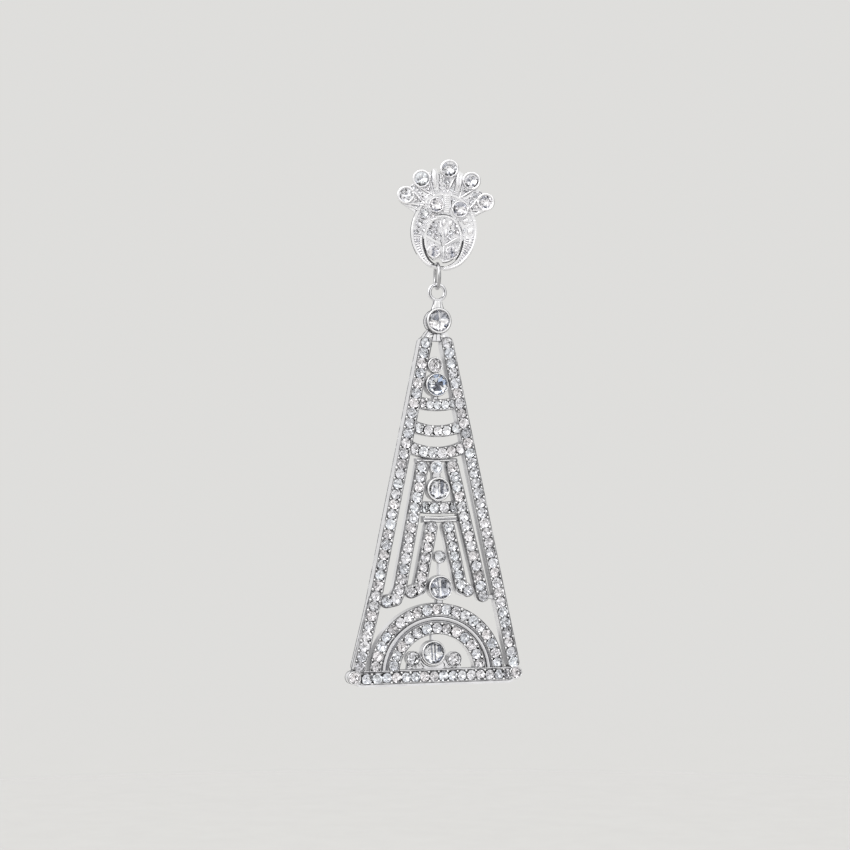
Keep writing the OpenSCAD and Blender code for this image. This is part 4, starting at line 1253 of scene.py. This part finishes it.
world = bpy.context.scene.world or bpy.data.worlds.new("studio")
bpy.context.scene.world = world
world.use_nodes = True
nt = world.node_tree
for nd in list(nt.nodes):
    nt.nodes.remove(nd)
tc = nt.nodes.new("ShaderNodeTexCoord")
way = tc.outputs["Generated"]
sep = nt.nodes.new("ShaderNodeSeparateXYZ")
nt.links.new(way, sep.inputs[0])


def lobe(direction, wide, core):
    """1 within core degrees of a direction, falling smoothly to 0 at wide degrees."""
    d = Vector(direction).normalized()
    dot = nt.nodes.new("ShaderNodeVectorMath")
    dot.operation = "DOT_PRODUCT"
    dot.inputs[1].default_value = d
    nt.links.new(way, dot.inputs[0])
    mr = nt.nodes.new("ShaderNodeMapRange")
    mr.interpolation_type = "SMOOTHSTEP"
    mr.inputs["From Min"].default_value = math.cos(math.radians(wide))
    mr.inputs["From Max"].default_value = math.cos(math.radians(core))
    mr.inputs["To Min"].default_value = 0.0
    mr.inputs["To Max"].default_value = 1.0
    nt.links.new(dot.outputs["Value"], mr.inputs["Value"])
    return mr.outputs["Result"]


height = nt.nodes.new("ShaderNodeMapRange")
height.inputs["From Min"].default_value = -0.6
height.inputs["From Max"].default_value = 0.9
height.inputs["To Min"].default_value = 0.75
height.inputs["To Max"].default_value = 1.15
nt.links.new(sep.outputs["Z"], height.inputs["Value"])
light = height.outputs["Result"]
# soft boxes: direction, outer and inner half angle, strength
for d, wide, core, s in (
    ((-0.6, -0.55, 0.6), 36, 18, 1.5),
    ((0.0, -0.15, 1.0), 34, 18, 0.4),
    ((0.62, -0.5, 0.62), 18, 9, 0.8),
    ((0.77, -0.64, 0.0), 15, 7, 0.35),
):
    light = maths(nt, "ADD", light, maths(nt, "MULTIPLY", lobe(d, wide, core), s))
# dark flags: direction, outer and inner half angle, how much they take away
for d, wide, core, s in (
    ((0.97, 0.25, 0.0), 46, 22, 0.5),
    ((0.45, 0.9, 0.15), 52, 20, 0.58),
    ((-0.2, 0.8, 0.75), 24, 12, 0.3),
    ((-0.56, 0.82, 0.1), 24, 10, 0.12),
    ((0.5, -0.45, -0.75), 34, 16, 0.5),
    ((-0.35, -0.85, -0.4), 12, 6, 0.5),
    ((-0.1, -0.75, 0.66), 10, 6, 0.4),
):
    light = maths(nt, "MULTIPLY", light, maths(nt, "SUBTRACT", 1.0, maths(nt, "MULTIPLY", lobe(d, wide, core), s)))
tint = mix(nt, 1.0, (1.0, 0.995, 0.985), light, "MULTIPLY")
seen = nt.nodes.new("ShaderNodeBackground")
seen.inputs["Color"].default_value = (0.735, 0.73, 0.715, 1)
studio = nt.nodes.new("ShaderNodeBackground")
nt.links.new(tint, studio.inputs["Color"])
path = nt.nodes.new("ShaderNodeLightPath")
both = nt.nodes.new("ShaderNodeMixShader")
out = nt.nodes.new("ShaderNodeOutputWorld")
nt.links.new(path.outputs["Is Camera Ray"], both.inputs["Fac"])
nt.links.new(studio.outputs[0], both.inputs[1])
nt.links.new(seen.outputs[0], both.inputs[2])
nt.links.new(both.outputs[0], out.inputs["Surface"])

scene = bpy.context.scene
scene.view_settings.view_transform = "Standard"
scene.view_settings.look = "None"
scene.view_settings.exposure = 0.0

key = bpy.data.lights.new("key", "AREA")
key.shape, key.size = "DISK", 0.22
key.energy = 0.5
key_o = bpy.data.objects.new("key", key)
scene.collection.objects.link(key_o)
key_o.location = (-0.34, -0.42, 0.38)
key_o.rotation_mode = "QUATERNION"
key_o.rotation_quaternion = (Vector((0, 0, -0.035)) - key_o.location).to_track_quat("-Z", "Y")

cam = bpy.data.cameras.new("camera")
cam.sensor_width = 36.0
cam.angle = 2 * math.atan(425 * 0.000165 / 0.38)
cam.clip_start = 0.01
cam_o = bpy.data.objects.new("camera", cam)
scene.collection.objects.link(cam_o)
cam_o.location = (-0.003132, -0.0033 - 0.38, -0.03512)
cam_o.rotation_euler = (math.radians(90), 0, 0)
scene.camera = cam_o
